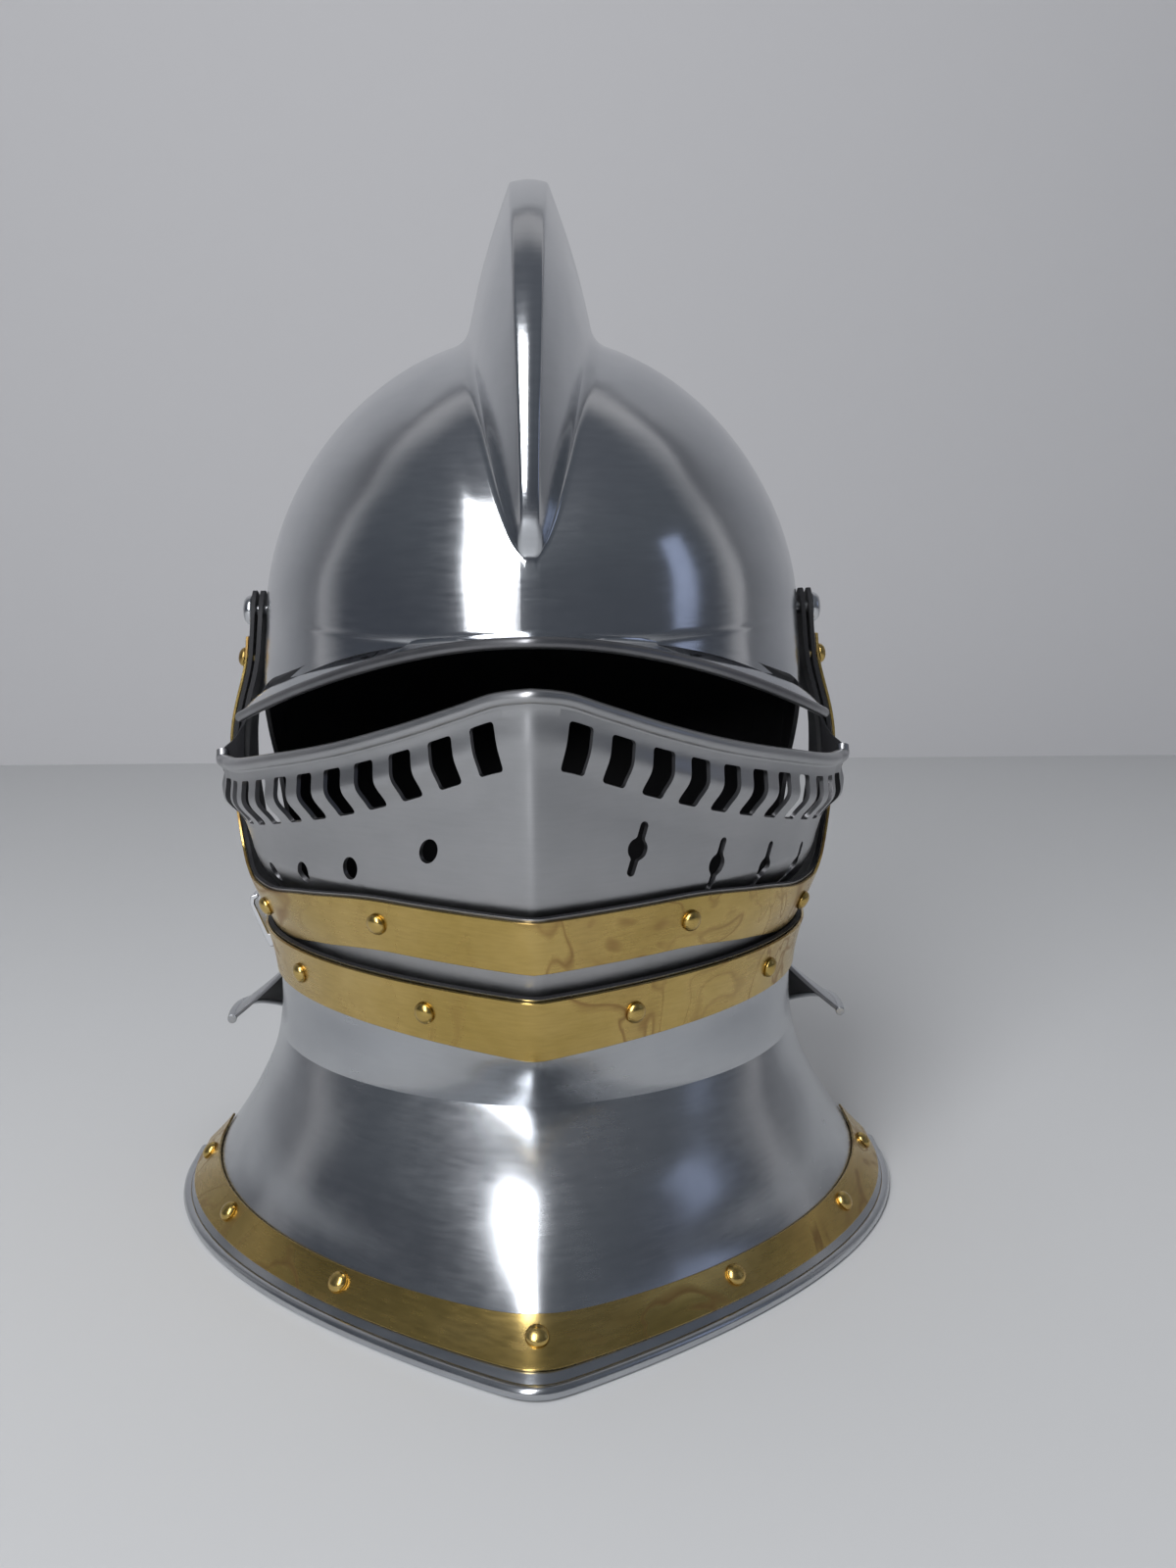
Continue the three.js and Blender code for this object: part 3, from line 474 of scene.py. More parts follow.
def brass(name, rough, stain_share):
    """Polished brass with the brown rings that drying water leaves."""
    material, tree, surface = shader(name)
    surface.inputs["Metallic"].default_value = 1.0
    cloud = noise(tree, 24, 4, roughness=0.6, distortion=0.4)
    tone = ramp(tree, cloud, [
        (0.3, (0.5, 0.355, 0.105)), (0.55, (0.6, 0.43, 0.145)), (0.75, (0.68, 0.5, 0.19)),
    ])
    rings = noise(tree, 19, 2.2, roughness=0.55, distortion=1.6)
    edge = ramp(tree, rings, [
        (0.0, 0.0), (0.44, 0.0), (0.468, 1.0), (0.5, 0.12), (0.62, 0.3), (0.66, 0.9), (0.69, 0.0), (1.0, 0.0),
    ])
    patch = noise(tree, 9, 2, roughness=0.5)
    where = ramp(tree, patch, [(0.4, 0.1), (0.54, 1.0)])
    share = arithmetic(tree, "MULTIPLY", (edge, "Color"), (where, "Color"))
    stain = arithmetic(tree, "MULTIPLY", (share, "Value"), stain_share)
    stained = blend_colour(tree, stain, "Value", tone, (0.34, 0.19, 0.075))
    lines = noise(tree, 120, 3, stretch=(1, 1, 9), roughness=0.6)
    lines_ramp = ramp(tree, lines, [(0.3, 0.86), (0.6, 1.0)])
    lined = blend_colour(tree, None, 0.8, stained, lines_ramp, "MULTIPLY")
    tree.links.new(colour_of(lined), surface.inputs["Base Color"])
    span = spread(tree, stain, "Value", (0.0, 1.0), (rough, rough + 0.22))
    fine = arithmetic(tree, "MULTIPLY_ADD", (lines, "Fac"), 0.1, (span, "Result"))
    link(tree, fine, "Value", surface, "Roughness")
    wavy = noise(tree, 30, 2)
    first = bump(tree, wavy, "Fac", 0.25, 0.0008)
    second = bump(tree, lines, "Fac", 0.1, 0.0001, first)
    link(tree, second, "Normal", surface, "Normal")
    return material


def black_paint_and_painted_shade(name):
    material, tree, surface = shader(name)
    cloud = noise(tree, 60, 3)
    tone = ramp(tree, cloud, [(0.3, (0.006, 0.006, 0.008)), (0.7, (0.013, 0.013, 0.016))])
    tree.links.new(tone.outputs["Color"], surface.inputs["Base Color"])
    span = ramp(tree, cloud, [(0.3, 0.62), (0.7, 0.8)])
    tree.links.new(span.outputs["Color"], surface.inputs["Roughness"])
    grain = noise(tree, 900, 2)
    first = bump(tree, grain, "Fac", 0.2, 0.0001)
    link(tree, first, "Normal", surface, "Normal")
    return material


polished = steel(
    "polished steel", (0.63, 0.645, 0.665), (0.5, 0.52, 0.555), 0.12, 0.035, (1, 1, 7), brush=0.08, wave=0.5,
)
satin = steel(
    "satin steel", (0.46, 0.46, 0.47), (0.39, 0.395, 0.405), 0.32, 0.06, (1, 1, 9), brush=0.22, wave=0.2,
)
collar_steel = steel(
    "buffed steel", (0.55, 0.565, 0.585), (0.45, 0.465, 0.49), 0.19, 0.05, (1, 1, 8), brush=0.05, wave=0.5,
    pitting=0.0,
)
cut_steel = steel("cut steel edge", (0.3, 0.3, 0.31), (0.16, 0.16, 0.17), 0.34, 0.08, (1, 1, 1), brush=0.2)
band_brass = brass("brass sheet", 0.2, 0.8)
rivet_brass = brass("brass rivet", 0.2, 0.5)
bright_steel = steel(
    "bright steel fitting", (0.74, 0.75, 0.77), (0.6, 0.61, 0.63), 0.16, 0.04, (1, 1, 1), brush=0.1,
)
# Black paint on the inner faces; the same material is also painted shade on the steel cut edges of the lame
# and of the visor's arms
black = black_paint_and_painted_shade("black paint and painted shade")


# Skull: sections fan out round the pivot axis. Fan angle 0 points to the face, 90 up
# and 180 to the back.

SKULL_REACH = [
    (-90, 277), (-60, 270), (-42, 250), (-30, 196), (-18.7, 150), (-10, 132), (BROW, 127), (10, 124.5),
    (30, 115.5), (50, 107.5), (70, 103), (90, 101.5), (110, 102.5), (130, 106.5), (150, 112), (165, 116.5),
    (180, 119.5), (195, 122.5), (205, 126), (215, 131), (223, 137.5), (NAPE, 154), (245, 198), (257, 248),
    (270, 277),
]
SKULL_EDGE = [
    (-90, 122), (-86, 118), (-82, 92), (-69, 58), (-42, 51), (-26, 60), (-18.7, 72), (-12, 86), (-7.6, 99),
    (-4.6, 112), (BROW, 127),
]
SKULL_BACK_EDGE = [(NAPE, 154), (238, 144), (245, 136.5), (257, 126), (264, 123), (270, 122)]


def comb_share(fan):
    """How much of its full height the comb has there."""
    t = (fan - COMB_FRONT) / (COMB_BACK - COMB_FRONT)
    if t <= 0 or t >= 1:
        return 0.0
    return math.sin(math.pi * t) ** 0.85


def skull_reach(fan):
    return float(eased(SKULL_REACH, fan, 4.0))


def fan_point(x, radius, fan):
    turn = np.radians(fan)
    return stack(x, PIVOT_Y - radius * np.cos(turn), PIVOT_Z + radius * np.sin(turn))


def shell_radius(x, reach):
    return reach * np.maximum(0, 1 - (x / SKULL_HALF_WIDTH) ** 2) ** (1 / SKULL_ROUNDNESS)


def shell_x(radius, reach):
    return SKULL_HALF_WIDTH * np.sqrt(np.maximum(0, 1 - (radius / reach) ** SKULL_ROUNDNESS))


def bezier(a, b, c, count):
    t = np.linspace(0, 1, count)[:, None]
    return (1 - t) ** 2 * np.array(a) + 2 * t * (1 - t) * np.array(b) + t ** 2 * np.array(c)


SHELL_STEPS = 46
TOE_HALF_WIDTH = 2.2
TOE_HOLLOW = 1.6
TOE_HOLLOW_FAN = 24
TOE_HOLLOW_REACH = 12
HOLLOW_HALF_WIDTH = 5.0
SPINE_EDGE = 1.3
FLANK_SWELL = 1.3
CROWN_SWELL = 0.75
COMB_FADE = 0.12


def skull_profile(fan):
    """Half of a section as (x, radius), from the temple to the middle line or to the lower edge."""
    reach = skull_reach(fan)
    share = comb_share(fan)
    steps = 1 - (1 - np.linspace(0, 1, SHELL_STEPS)) ** 1.25
    if BROW <= fan <= NAPE:
        rise = COMB_HEIGHT * share
        base = max(TOE_HALF_WIDTH, COMB_BASE * share ** 0.62)
        spine = min(mix(COMB_TIP, COMB_SPINE, share ** 1.7), base * 0.55)
        foot = base + 1 + 4 * share
        hollow = TOE_HOLLOW * math.exp(-((fan - TOE_HOLLOW_FAN) / TOE_HOLLOW_REACH) ** 2)
        join = float(shell_radius(foot, reach))
        radius = mix(PIVOT_HOLE, join, steps)
        x = shell_x(radius, reach)
        dip = hollow * np.exp(-((x - foot) / HOLLOW_HALF_WIDTH) ** 2)
        shell = np.stack([x, radius - dip], 1)
        corner = np.array([base, float(shell_radius(base, reach)) - hollow])
        top = np.array([spine, reach + rise])
        flank = top - corner
        length = max(1e-6, np.hypot(*flank))
        reach_up = min(0.4, (1 + 4 * share) / length)
        fillet = bezier(shell[-1], corner, corner + flank * reach_up, 9)[1:]
        edge = min(SPINE_EDGE, spine * 0.4)
        last = 1 - edge / length
        t = np.linspace(reach_up, last, 16)[1:]
        side = corner + flank * t[:, None]
        side[:, 0] += FLANK_SWELL * share * np.sin(np.pi * (t - reach_up) / (last - reach_up))
        crown_edge = reach + rise + 0.05 * share
        crown_at = np.array([spine - edge, crown_edge])
        turned = bezier(side[-1], top, crown_at, 5)[1:]
        x = np.linspace(crown_at[0], 0, 5)[1:]
        crown = np.stack([x, crown_edge + CROWN_SWELL * share * (1 - (x / crown_at[0]) ** 2)], 1)
        profile = np.vstack([shell, fillet, side, turned, crown])
        plain_radius = shell_radius(profile[:, 0], reach)
        profile[:, 1] = mix(plain_radius, profile[:, 1], gradual(share / COMB_FADE))
        return profile
    edge = float(along(SKULL_EDGE, fan)) if fan < 0 else float(along(SKULL_BACK_EDGE, fan))
    first = float(shell_x(PIVOT_HOLE, reach))
    last = float(shell_x(min(edge, reach), reach))
    x = mix(last, first, brow_across / brow_across[0])
    return np.stack([x, shell_radius(x, reach)], 1)


brow_across = skull_profile(BROW)[:, 0]


def skull_shell():
    stops = (-90, -60, -20, BROW, COMB_FRONT, 24, 176, COMB_BACK, NAPE, 270)
    counts = (16, 28, 22, 12, 20, 72, 14, 24, 30)
    stretches = [np.linspace(a, b, count) for a, b, count in zip(stops, stops[1:], counts)]
    fans = np.concatenate([stretch[:-1] for stretch in stretches] + [stretches[-1][-1:]])
    right = np.array([fan_point(*skull_profile(f).T, f) for f in fans])
    normals = grid_normals(right, (1, 0, 1))
    middle = normals[:, -1].copy()
    inside = (fans >= BROW) & (fans <= NAPE)
    middle[inside, 0] = 0
    normals[:, -1] = unit(middle)
    sheet = Sheet()
    sheet.grid(right, normals)
    left = right * [-1, 1, 1]
    sheet.grid(left, normals * [-1, 1, 1])
    return sheet


PEAK_ROOT = -40.0
PEAK_END_BEARING = 73.0
PEAK_DEPTH = 142.0
PEAK_HALF_WIDTH = SKULL_HALF_WIDTH + 11.5
PEAK_WEDGE = 0.6
PEAK_Z = 218.3
PEAK_FALL = 34.8
PEAK_ARCH = 2.2
PEAK_KEEL_SOFTNESS = 1.2
PEAK_TURN_SHARE = 0.2
SIDE_BLEND_FROM = 45
SIDE_BLEND_WIDTH = 30


def peak_root(t, thickness=STEEL / 2, back=2.3):
    """Where the peak leaves the brow edge, from one side (-1) to the other (1)."""
    share = math.hypot(t, 0.03) - 0.03
    fan = mix(BROW, PEAK_ROOT, min(1.0, share / 0.97) ** 0.8)
    width = SKULL_HALF_WIDTH - thickness
    reach = skull_reach(fan) - thickness
    radius = min(float(along(SKULL_EDGE, fan)), reach * 0.9999) - back
    x = width * math.sqrt(max(0, 1 - (radius / reach) ** SKULL_ROUNDNESS)) * min(1, abs(t) * 12)
    return fan_point(math.copysign(x, t), radius, fan)


def up_skull(point, step, lift):
    """A place on the skull's outer face, one step above a place near it."""
    x, y, z = point[0], point[1], point[2] + step
    fan = math.degrees(math.atan2(z - PIVOT_Z, PIVOT_Y - y))
    reach = skull_reach(fan) + lift
    in_front = fan_point(x, float(shell_radius(x, reach)), fan)
    radius = min(math.hypot(z - PIVOT_Z, PIVOT_Y - y), reach)
    at_side = fan_point(math.copysign(float(shell_x(radius, reach)) + lift, x), radius, fan)
    return mix(in_front, at_side, gradual((abs(x) - SIDE_BLEND_FROM) / SIDE_BLEND_WIDTH))


def peak_rim(t):
    """The peak's outer rim, from one side (-1) to the other (1)."""
    turn = abs(t) * PEAK_END_BEARING
    soft = math.hypot(turn, PEAK_KEEL_SOFTNESS) - PEAK_KEEL_SOFTNESS
    forward = mix(math.cos(math.radians(turn)), 1 - soft / 90, PEAK_WEDGE)
    x = math.copysign(PEAK_HALF_WIDTH * math.sin(math.radians(turn)), t)
    z = PEAK_Z - PEAK_FALL * (abs(x) / PEAK_HALF_WIDTH) ** 1.8
    return np.array([x, PIVOT_Y - PEAK_DEPTH * forward, z])


def peak_top(root, rim, share):
    point = mix(root, rim, share)
    point[2] += PEAK_ARCH * math.sin(math.pi * share) + STEEL / 2
    return point


def peak_sheet():
    """The peak's upper face, which starts inside the skull's wall."""
    lines = []
    for t in np.linspace(-1, 1, 121):
        root = peak_root(t)
        rim = peak_rim(t)
        brow = peak_root(t, 0.0, 0.0)
        start = up_skull(brow, 1.6, -0.8)
        line = list(bezier(start, brow + [0, 0, 1.0], peak_top(root, rim, PEAK_TURN_SHARE), 11))
        line.extend(peak_top(root, rim, s) for s in np.linspace(PEAK_TURN_SHARE, 1, 14)[1:])
        lines.append(line)
    points = np.array(lines).transpose(1, 0, 2)
    normals = grid_normals(points, (0, 0, 1))
    sheet = Sheet()
    root_line = {sheet.corner(p, n) for p, n in zip(points[0], normals[0])}
    sheet.grid(points, normals)
    return sheet.closed(STEEL, root_line)


skull_points, skull_faces, skull_kinds = skull_shell().closed(STEEL)
peak_points, peak_faces, peak_kinds = peak_sheet()
roll_points, roll_faces = tube([peak_rim(t) for t in np.linspace(-1, 1, 161)], PEAK_ROLL)
piece(
    "skull_shell",
    [
        (skull_points, skull_faces, skull_kinds), (peak_points, peak_faces, peak_kinds),
        (roll_points, roll_faces, [2] * len(roll_faces)),
    ],
    "helmet", [polished, black, cut_steel], ["skull"],
)

# Visor

ARC_HEIGHT = 180.0
ARC_STEPS = 360
arc_bearings = np.linspace(0, 90, ARC_STEPS + 1)
arc_line = face_plan(arc_bearings, np.full(ARC_STEPS + 1, ARC_HEIGHT))
arc_lengths = np.concatenate([[0], np.cumsum(np.linalg.norm(np.diff(arc_line, axis=0), axis=1))])


def bearing_at(arc):
    length = np.abs(arc)
    near = np.interp(length, arc_lengths, arc_bearings)
    far = 90 + (length - arc_lengths[-1]) / REAR_STEP
    return np.sign(arc) * np.where(length > arc_lengths[-1], far, near)


def arc_of_bearing(bearing):
    near = np.interp(bearing, arc_bearings, arc_lengths)
    return np.where(bearing > 90, arc_lengths[-1] + (bearing - 90) * REAR_STEP, near)


VISOR_EDGE = [
    (0, 203), (10, 201.8), (24, 197.4), (47, 190), (73, 183.2), (105, 177), (150, 170.2), (175, 168.5),
]
ARM_EDGE = [
    (78, 168.5), (80, 169), (81.5, 175), (82.7, 194), (84, 213), (86, 225.5), (90, 231.5), (94, 228),
    (96.6, 219), (98, 211),
]
VISOR_FOOT = 115.5
ARM_FOOT = [(78, VISOR_FOOT), (81, 121), (84, 138), (87, 158), (90, 174), (94, 188), (98, 196)]
LAST_SLOT_EDGE = FIRST_SLOT + (SLOT_COUNT - 0.5) * SLOT_PITCH
SIDE_HEIGHT = float(along(VISOR_EDGE, LAST_SLOT_EDGE)) - VISOR_FOOT
SWELL = [(0, 5.4), (6, 4.4), (13, 5.6), (22, 1), (30, 0)]
SWELL_SHARE = [(0, 0.15), (8, 0.35), (27, 1), (74, 1), (78, 1.3), (80.8, 1.4), (82, 0)]
TUCK = [(VISOR_FOOT, 11), (124, 6.2), (131, 2), (136.5, 0)]
TUCK_SHARE = [(0, 1), (30, 1), (50, 0.85), (65, 0.6), (78, 0.4), (82, 0.2), (84, 0)]
CELL = 10
SLOT_ROWS = 16
BREATH_ROWS = 24
SLOT_BLOCK = (3.0, 26.0)
BREATH_BLOCK = (28.0, 50.5)
RING_SHARES = (0, 0.3, 0.58, 0.82, 0.95, 1)
EDGE_ROLL = 0.9
EDGE_ROLL_DEPTH = 1.2
EDGE_ROLL_REACH = 1.5
BEAD_PAST_SLOTS = 3
ARM_SIDE = 104
ARM_FRONT = -22


def visor_height(arc, depth):
    """Height on the visor: arc is the length along it from the keel, depth the way down from its top edge."""
    length = np.abs(arc)
    top = eased(VISOR_EDGE, length, 3.0)
    upper = top - depth
    share = (depth - BREATH_BLOCK[1]) / (SIDE_HEIGHT - BREATH_BLOCK[1])
    lower = mix(top - BREATH_BLOCK[1], VISOR_FOOT, share)
    face = np.where(depth <= BREATH_BLOCK[1], upper, lower)
    bearing = np.abs(bearing_at(arc))
    arm_top = along(ARM_EDGE, bearing)
    arm = arm_top - (arm_top - along(ARM_FOOT, bearing)) * (depth / SIDE_HEIGHT)
    return np.where(length <= LAST_SLOT_EDGE, face, arm)


def visor_point(arc, depth, lift=0.0):
    arc, depth = np.broadcast_arrays(np.asarray(arc, float), np.asarray(depth, float))
    z = visor_height(arc, depth)
    bearing = bearing_at(arc)
    swell = eased(SWELL, depth, 1.6) * along(SWELL_SHARE, np.abs(bearing))
    tuck = along(TUCK, z) * along(TUCK_SHARE, np.abs(bearing))
    return face_point(bearing, z, lift + swell - tuck)


def visor_outward(arc, depth):
    step = 0.15
    across = visor_point(arc + step, depth) - visor_point(arc - step, depth)
    down = visor_point(arc, depth + step) - visor_point(arc, np.asarray(depth) - step)
    return unit(np.cross(down, across))


def rim_walk(across, down):
    """Places round a block's border, one list of (side, share): top, right, foot and left."""
    walk = [("top", k / across) for k in range(across)]
    walk += [("right", k / down) for k in range(down)]
    walk += [("foot", 1 - k / across) for k in range(across)]
    walk += [("left", 1 - k / down) for k in range(down)]
    return walk


def border_place(side, share, low, high, top, foot):
    """A place on the border of a block, as (arc, depth)."""
    if side == "top":
        return mix(low, high, share), top
    if side == "right":
        return high, mix(top, foot, share)
    if side == "foot":
        return mix(low, high, share), foot
    return low, mix(top, foot, share)


def slot_hole(centre, side_sign):
    half = SLOT_WIDTH / 2
    tall = (SLOT_FOOT - SLOT_TOP) / 2
    middle = (SLOT_FOOT + SLOT_TOP) / 2

    def place(side, share):
        x, y = border_place(side, share, -half, half, -tall, tall)
        inner_x, inner_y = half - SLOT_CORNER, tall - SLOT_CORNER
        over_x, over_y = abs(x) - inner_x, abs(y) - inner_y
        if over_x > 0 and over_y > 0:
            far = math.hypot(over_x, over_y)
            x = math.copysign(inner_x + over_x / far * SLOT_CORNER, x)
            y = math.copysign(inner_y + over_y / far * SLOT_CORNER, y)
        lean = SLOT_LEAN * ((y + tall) / (2 * tall))
        return centre + x - side_sign * lean, middle + y
    return place


def round_hole(centre):
    def place(side, share):
        x, y = border_place(side, share, -1, 1, -1, 1)
        turn = math.atan2(y, x)
        return centre + BREATH_RADIUS * math.cos(turn), BREATH_DEPTH + BREATH_RADIUS * math.sin(turn)
    return place


def slit_hole(centre):
    cap = BREATH_SLIT - SLIT_HALF_WIDTH

    def place(side, share):
        if side in ("top", "foot"):
            turn = math.pi * (1 - share)
            x = SLIT_HALF_WIDTH * math.cos(turn)
            y = (cap + SLIT_HALF_WIDTH * math.sin(turn)) * (-1 if side == "top" else 1)
        else:
            y = cap * (2 * share - 1)
            ball = math.sqrt(max(0, BREATH_RADIUS ** 2 - y * y))
            x = max(SLIT_HALF_WIDTH, ball) * (1 if side == "right" else -1)
        return centre + x - SLIT_LEAN * y / BREATH_SLIT, BREATH_DEPTH + y
    return place


def visor_sheet():
    first = FIRST_SLOT - SLOT_PITCH / 2
    step = SLOT_PITCH / CELL
    near = list(np.linspace(0, first, 10))
    slots = [first + step * k for k in range(1, SLOT_COUNT * CELL + 1)]
    arm_bearings = np.concatenate([
        np.linspace(float(bearing_at(slots[-1])), 80.8, 6)[1:], np.linspace(80.8, 86.6, 34)[1:],
        np.linspace(86.6, REAR_BEARING, 24)[1:],
    ])
    positive = near + slots + list(arc_of_bearing(arm_bearings))
    zero_slot = len(near) - 1
    rows = list(np.linspace(0, SLOT_BLOCK[0], 5))
    slot_row = len(rows) - 1
    rows += list(np.linspace(*SLOT_BLOCK, SLOT_ROWS + 1)[1:])
    rows += list(np.linspace(SLOT_BLOCK[1], BREATH_BLOCK[0], 3)[1:])
    breath_row = len(rows) - 1
    rows += list(np.linspace(*BREATH_BLOCK, BREATH_ROWS + 1)[1:])
    rows += list(np.linspace(BREATH_BLOCK[1], SIDE_HEIGHT, 18)[1:])
    arcs = np.array(positive)
    depths = np.array(rows)
    sheet = Sheet()
    for sign in (1, -1):
        skip = np.zeros((len(depths) - 1, len(arcs) - 1), bool)
        holes = []
        for k in range(SLOT_COUNT):
            at = zero_slot + k * CELL
            skip[slot_row:slot_row + SLOT_ROWS, at:at + CELL] = True
            centre = FIRST_SLOT + k * SLOT_PITCH
            holes.append((centre, SLOT_BLOCK, SLOT_ROWS, slot_hole(sign * centre, sign)))
        for place in BREATHS:
            at = zero_slot + int(round(place * CELL))
            skip[breath_row:breath_row + BREATH_ROWS, at:at + CELL] = True
            centre = FIRST_SLOT + place * SLOT_PITCH
            hole = slit_hole(sign * centre) if sign > 0 else round_hole(sign * centre)
            holes.append((centre, BREATH_BLOCK, BREATH_ROWS, hole))
        across, down = np.meshgrid(sign * arcs, depths)
        roll = EDGE_ROLL * np.exp(-((down - EDGE_ROLL_DEPTH) / EDGE_ROLL_REACH) ** 2)
        roll = roll * (np.abs(across) < LAST_SLOT_EDGE + BEAD_PAST_SLOTS)
        normals = visor_outward(across, down)
        sheet.grid(visor_point(across, down, roll), normals, skip)
        for centre, block, count, hole in holes:
            walk = rim_walk(CELL, count)
            low, high = sign * centre - SLOT_PITCH / 2, sign * centre + SLOT_PITCH / 2
            rings = []
            for share in RING_SHARES:
                ring = []
                for side, s in walk:
                    a = border_place(side, s, low, high, *block)
                    b = hole(side, s)
                    ring.append((mix(a[0], b[0], share), mix(a[1], b[1], share)))
                rings.append(ring + ring[:1])
            flat = np.array(rings)
            sheet.grid(visor_point(flat[..., 0], flat[..., 1]), visor_outward(flat[..., 0], flat[..., 1]))
    return sheet


# The cut edges of the arms get the black material instead of steel: painted shade that keeps these edges dark
# where they would catch the light
visor_points, visor_faces, visor_kinds = visor_sheet().closed(STEEL)
for k, corners in enumerate(visor_faces):
    x, y, z = visor_points[corners[0]]
    if visor_kinds[k] == 2 and abs(x) > ARM_SIDE and y > ARM_FRONT:
        visor_kinds[k] = 1
bead_end = LAST_SLOT_EDGE + BEAD_PAST_SLOTS
bead_arcs = np.linspace(-bead_end, bead_end, 241)
bead_points, bead_faces = tube(visor_point(bead_arcs, np.zeros(len(bead_arcs)), -STEEL / 2 + 0.2), BEAD_RADIUS)
piece(
    "visor_plate", [(visor_points, visor_faces, visor_kinds), (bead_points, bead_faces)], "visor",
    [satin, black, cut_steel], ["visor"],
)

# Middle lame and its brass border

LAME_LIFT = SLIDE_GAP + STEEL
UPPER_BAND_EDGE = [(0, 135.3), (25, 135.6), (45, 132), (62, 128.3), (72, 128.3), (78, 131)]
LAME_ARM_EDGE = [
    (78, 131), (81, 134), (83.4, 146), (84.4, 176), (85.4, 206), (86.6, 223.5), (90, 231.5), (94, 228),
    (96.6, 219), (98, 211),
]
LAME_FOOT = 98.0
BAND_LIFT_IN = LAME_LIFT + BRASS_GAP
BAND_LIFT_OUT = BAND_LIFT_IN + BRASS
ARM_STRIP_BACK = 8.5
ARM_STRIP_TOP = 214.0
BAND_BELOW_EDGE = 0.8
BAND_TURN_BEARING = 72
BAND_WEAR = 0.22


def lame_edge(bearing):
    turn = np.abs(bearing)
    return np.where(turn <= 78, along(UPPER_BAND_EDGE, turn), along(LAME_ARM_EDGE, turn))


def level(height):
    """An edge that keeps one height at every bearing."""
    return lambda bearing: np.full(bearing.shape, height)


def face_sheet(bearings, shares, top_at, foot_at, lift):
    """A plate between two edges, at a lift from the face plates' common form."""
    both = np.concatenate([-bearings[:0:-1], bearings])
    across, share = np.meshgrid(both, shares)
    z = mix(top_at(np.abs(across)), foot_at(np.abs(across)), share)
    sheet = Sheet()
    sheet.grid(face_point(across, z, np.full(across.shape, lift)), outward(face_plan, across, z))
    return sheet


fine_bearings = np.concatenate([np.linspace(0, 4, 9)[:-1], np.linspace(4, 78, 90)])
arm_bearings = np.concatenate([
    np.linspace(78, 82, 10)[1:], np.linspace(82, 86.6, 44)[1:], np.linspace(86.6, REAR_BEARING, 22)[1:],
])
lame_bearings = np.concatenate([fine_bearings, arm_bearings])
lame = face_sheet(lame_bearings, np.linspace(0, 1, 24), lame_edge, level(LAME_FOOT), LAME_LIFT)
# The lame's cut edges take the black material too: painted shade on steel edges that would otherwise catch the
# light
piece("middle_plate", [lame.closed(STEEL)], "bevor", [satin, black, black], ["middle_lame"])


def bearing_of(y, z, lift):
    """The bearing past 55 degrees at which the lifted face surface lies at this y."""
    trial = np.linspace(55, 97, 800)
    line = face_point(trial, np.full(800, z), np.full(800, lift))[:, 1]
    return float(np.interp(y, line, trial))


def resample(points, count):
    """A smoothed line of evenly spread points through some (bearing, height) pairs."""
    points = np.array(points, float)
    steps = np.linalg.norm(np.diff(points, axis=0) * [1.6, 1], axis=1)
    length = np.concatenate([[0], np.cumsum(steps)])
    at = np.linspace(0, length[-1], count)
    pairs = [np.interp(at, length, points[:, k]) for k in (0, 1)]
    kernel = np.array([1, 2, 3, 2, 1]) / 9
    smooth = []
    for line in pairs:
        padded = np.concatenate([2 * line[0] - line[2:0:-1], line, 2 * line[-1] - line[-2:-4:-1]])
        smooth.append(np.convolve(padded, kernel, mode="valid"))
    return np.stack(smooth, 1)


def upper_band_sheet():
    climb = [(-15, 131.5), (-8, 135.5), (-3.4, 145), (-1.6, 160), (-0.6, 176), (0.4, 196), (2, ARM_STRIP_TOP)]
    back = [
        (-14, 112.5), (-4, 117), (4, 126), (ARM_STRIP_BACK - 0.6, 140), (ARM_STRIP_BACK + 1.6, 165),
        (ARM_STRIP_BACK + 1.5, 190), (ARM_STRIP_BACK, ARM_STRIP_TOP),
    ]
    front = np.linspace(0, BAND_TURN_BEARING, 40)
    top = [(b, float(lame_edge(b)) - BAND_BELOW_EDGE) for b in front]
    foot = [(b, float(lame_edge(b)) - BAND_BELOW_EDGE - UPPER_BAND_HEIGHT) for b in front]
    top_arm = [top[-1]] + [(bearing_of(y, z, BAND_LIFT_OUT), z) for y, z in climb]
    foot_arm = [foot[-1]] + [(bearing_of(y, z, BAND_LIFT_OUT), z) for y, z in back]
    edge_a = np.vstack([np.array(top), resample(top_arm, 60)[1:]])
    edge_b = np.vstack([np.array(foot), resample(foot_arm, 60)[1:]])
    sheet = Sheet()
    for sign in (1, -1):
        share = np.linspace(0, 1, 9)[:, None]
        bearing = mix(edge_a[:, 0], edge_b[:, 0], share) * sign
        z = mix(edge_a[:, 1], edge_b[:, 1], share)
        lift = np.full(z.shape, BAND_LIFT_OUT)
        sheet.grid(face_point(bearing, z, lift), outward(face_plan, bearing, z))
    return sheet


piece(
    "upper_brass_border", [upper_band_sheet().closed(BRASS)], "bevor", [band_brass],
    ["brass_band_upper"], round_edges=BAND_WEAR,
)

# Front collar with its two brass borders

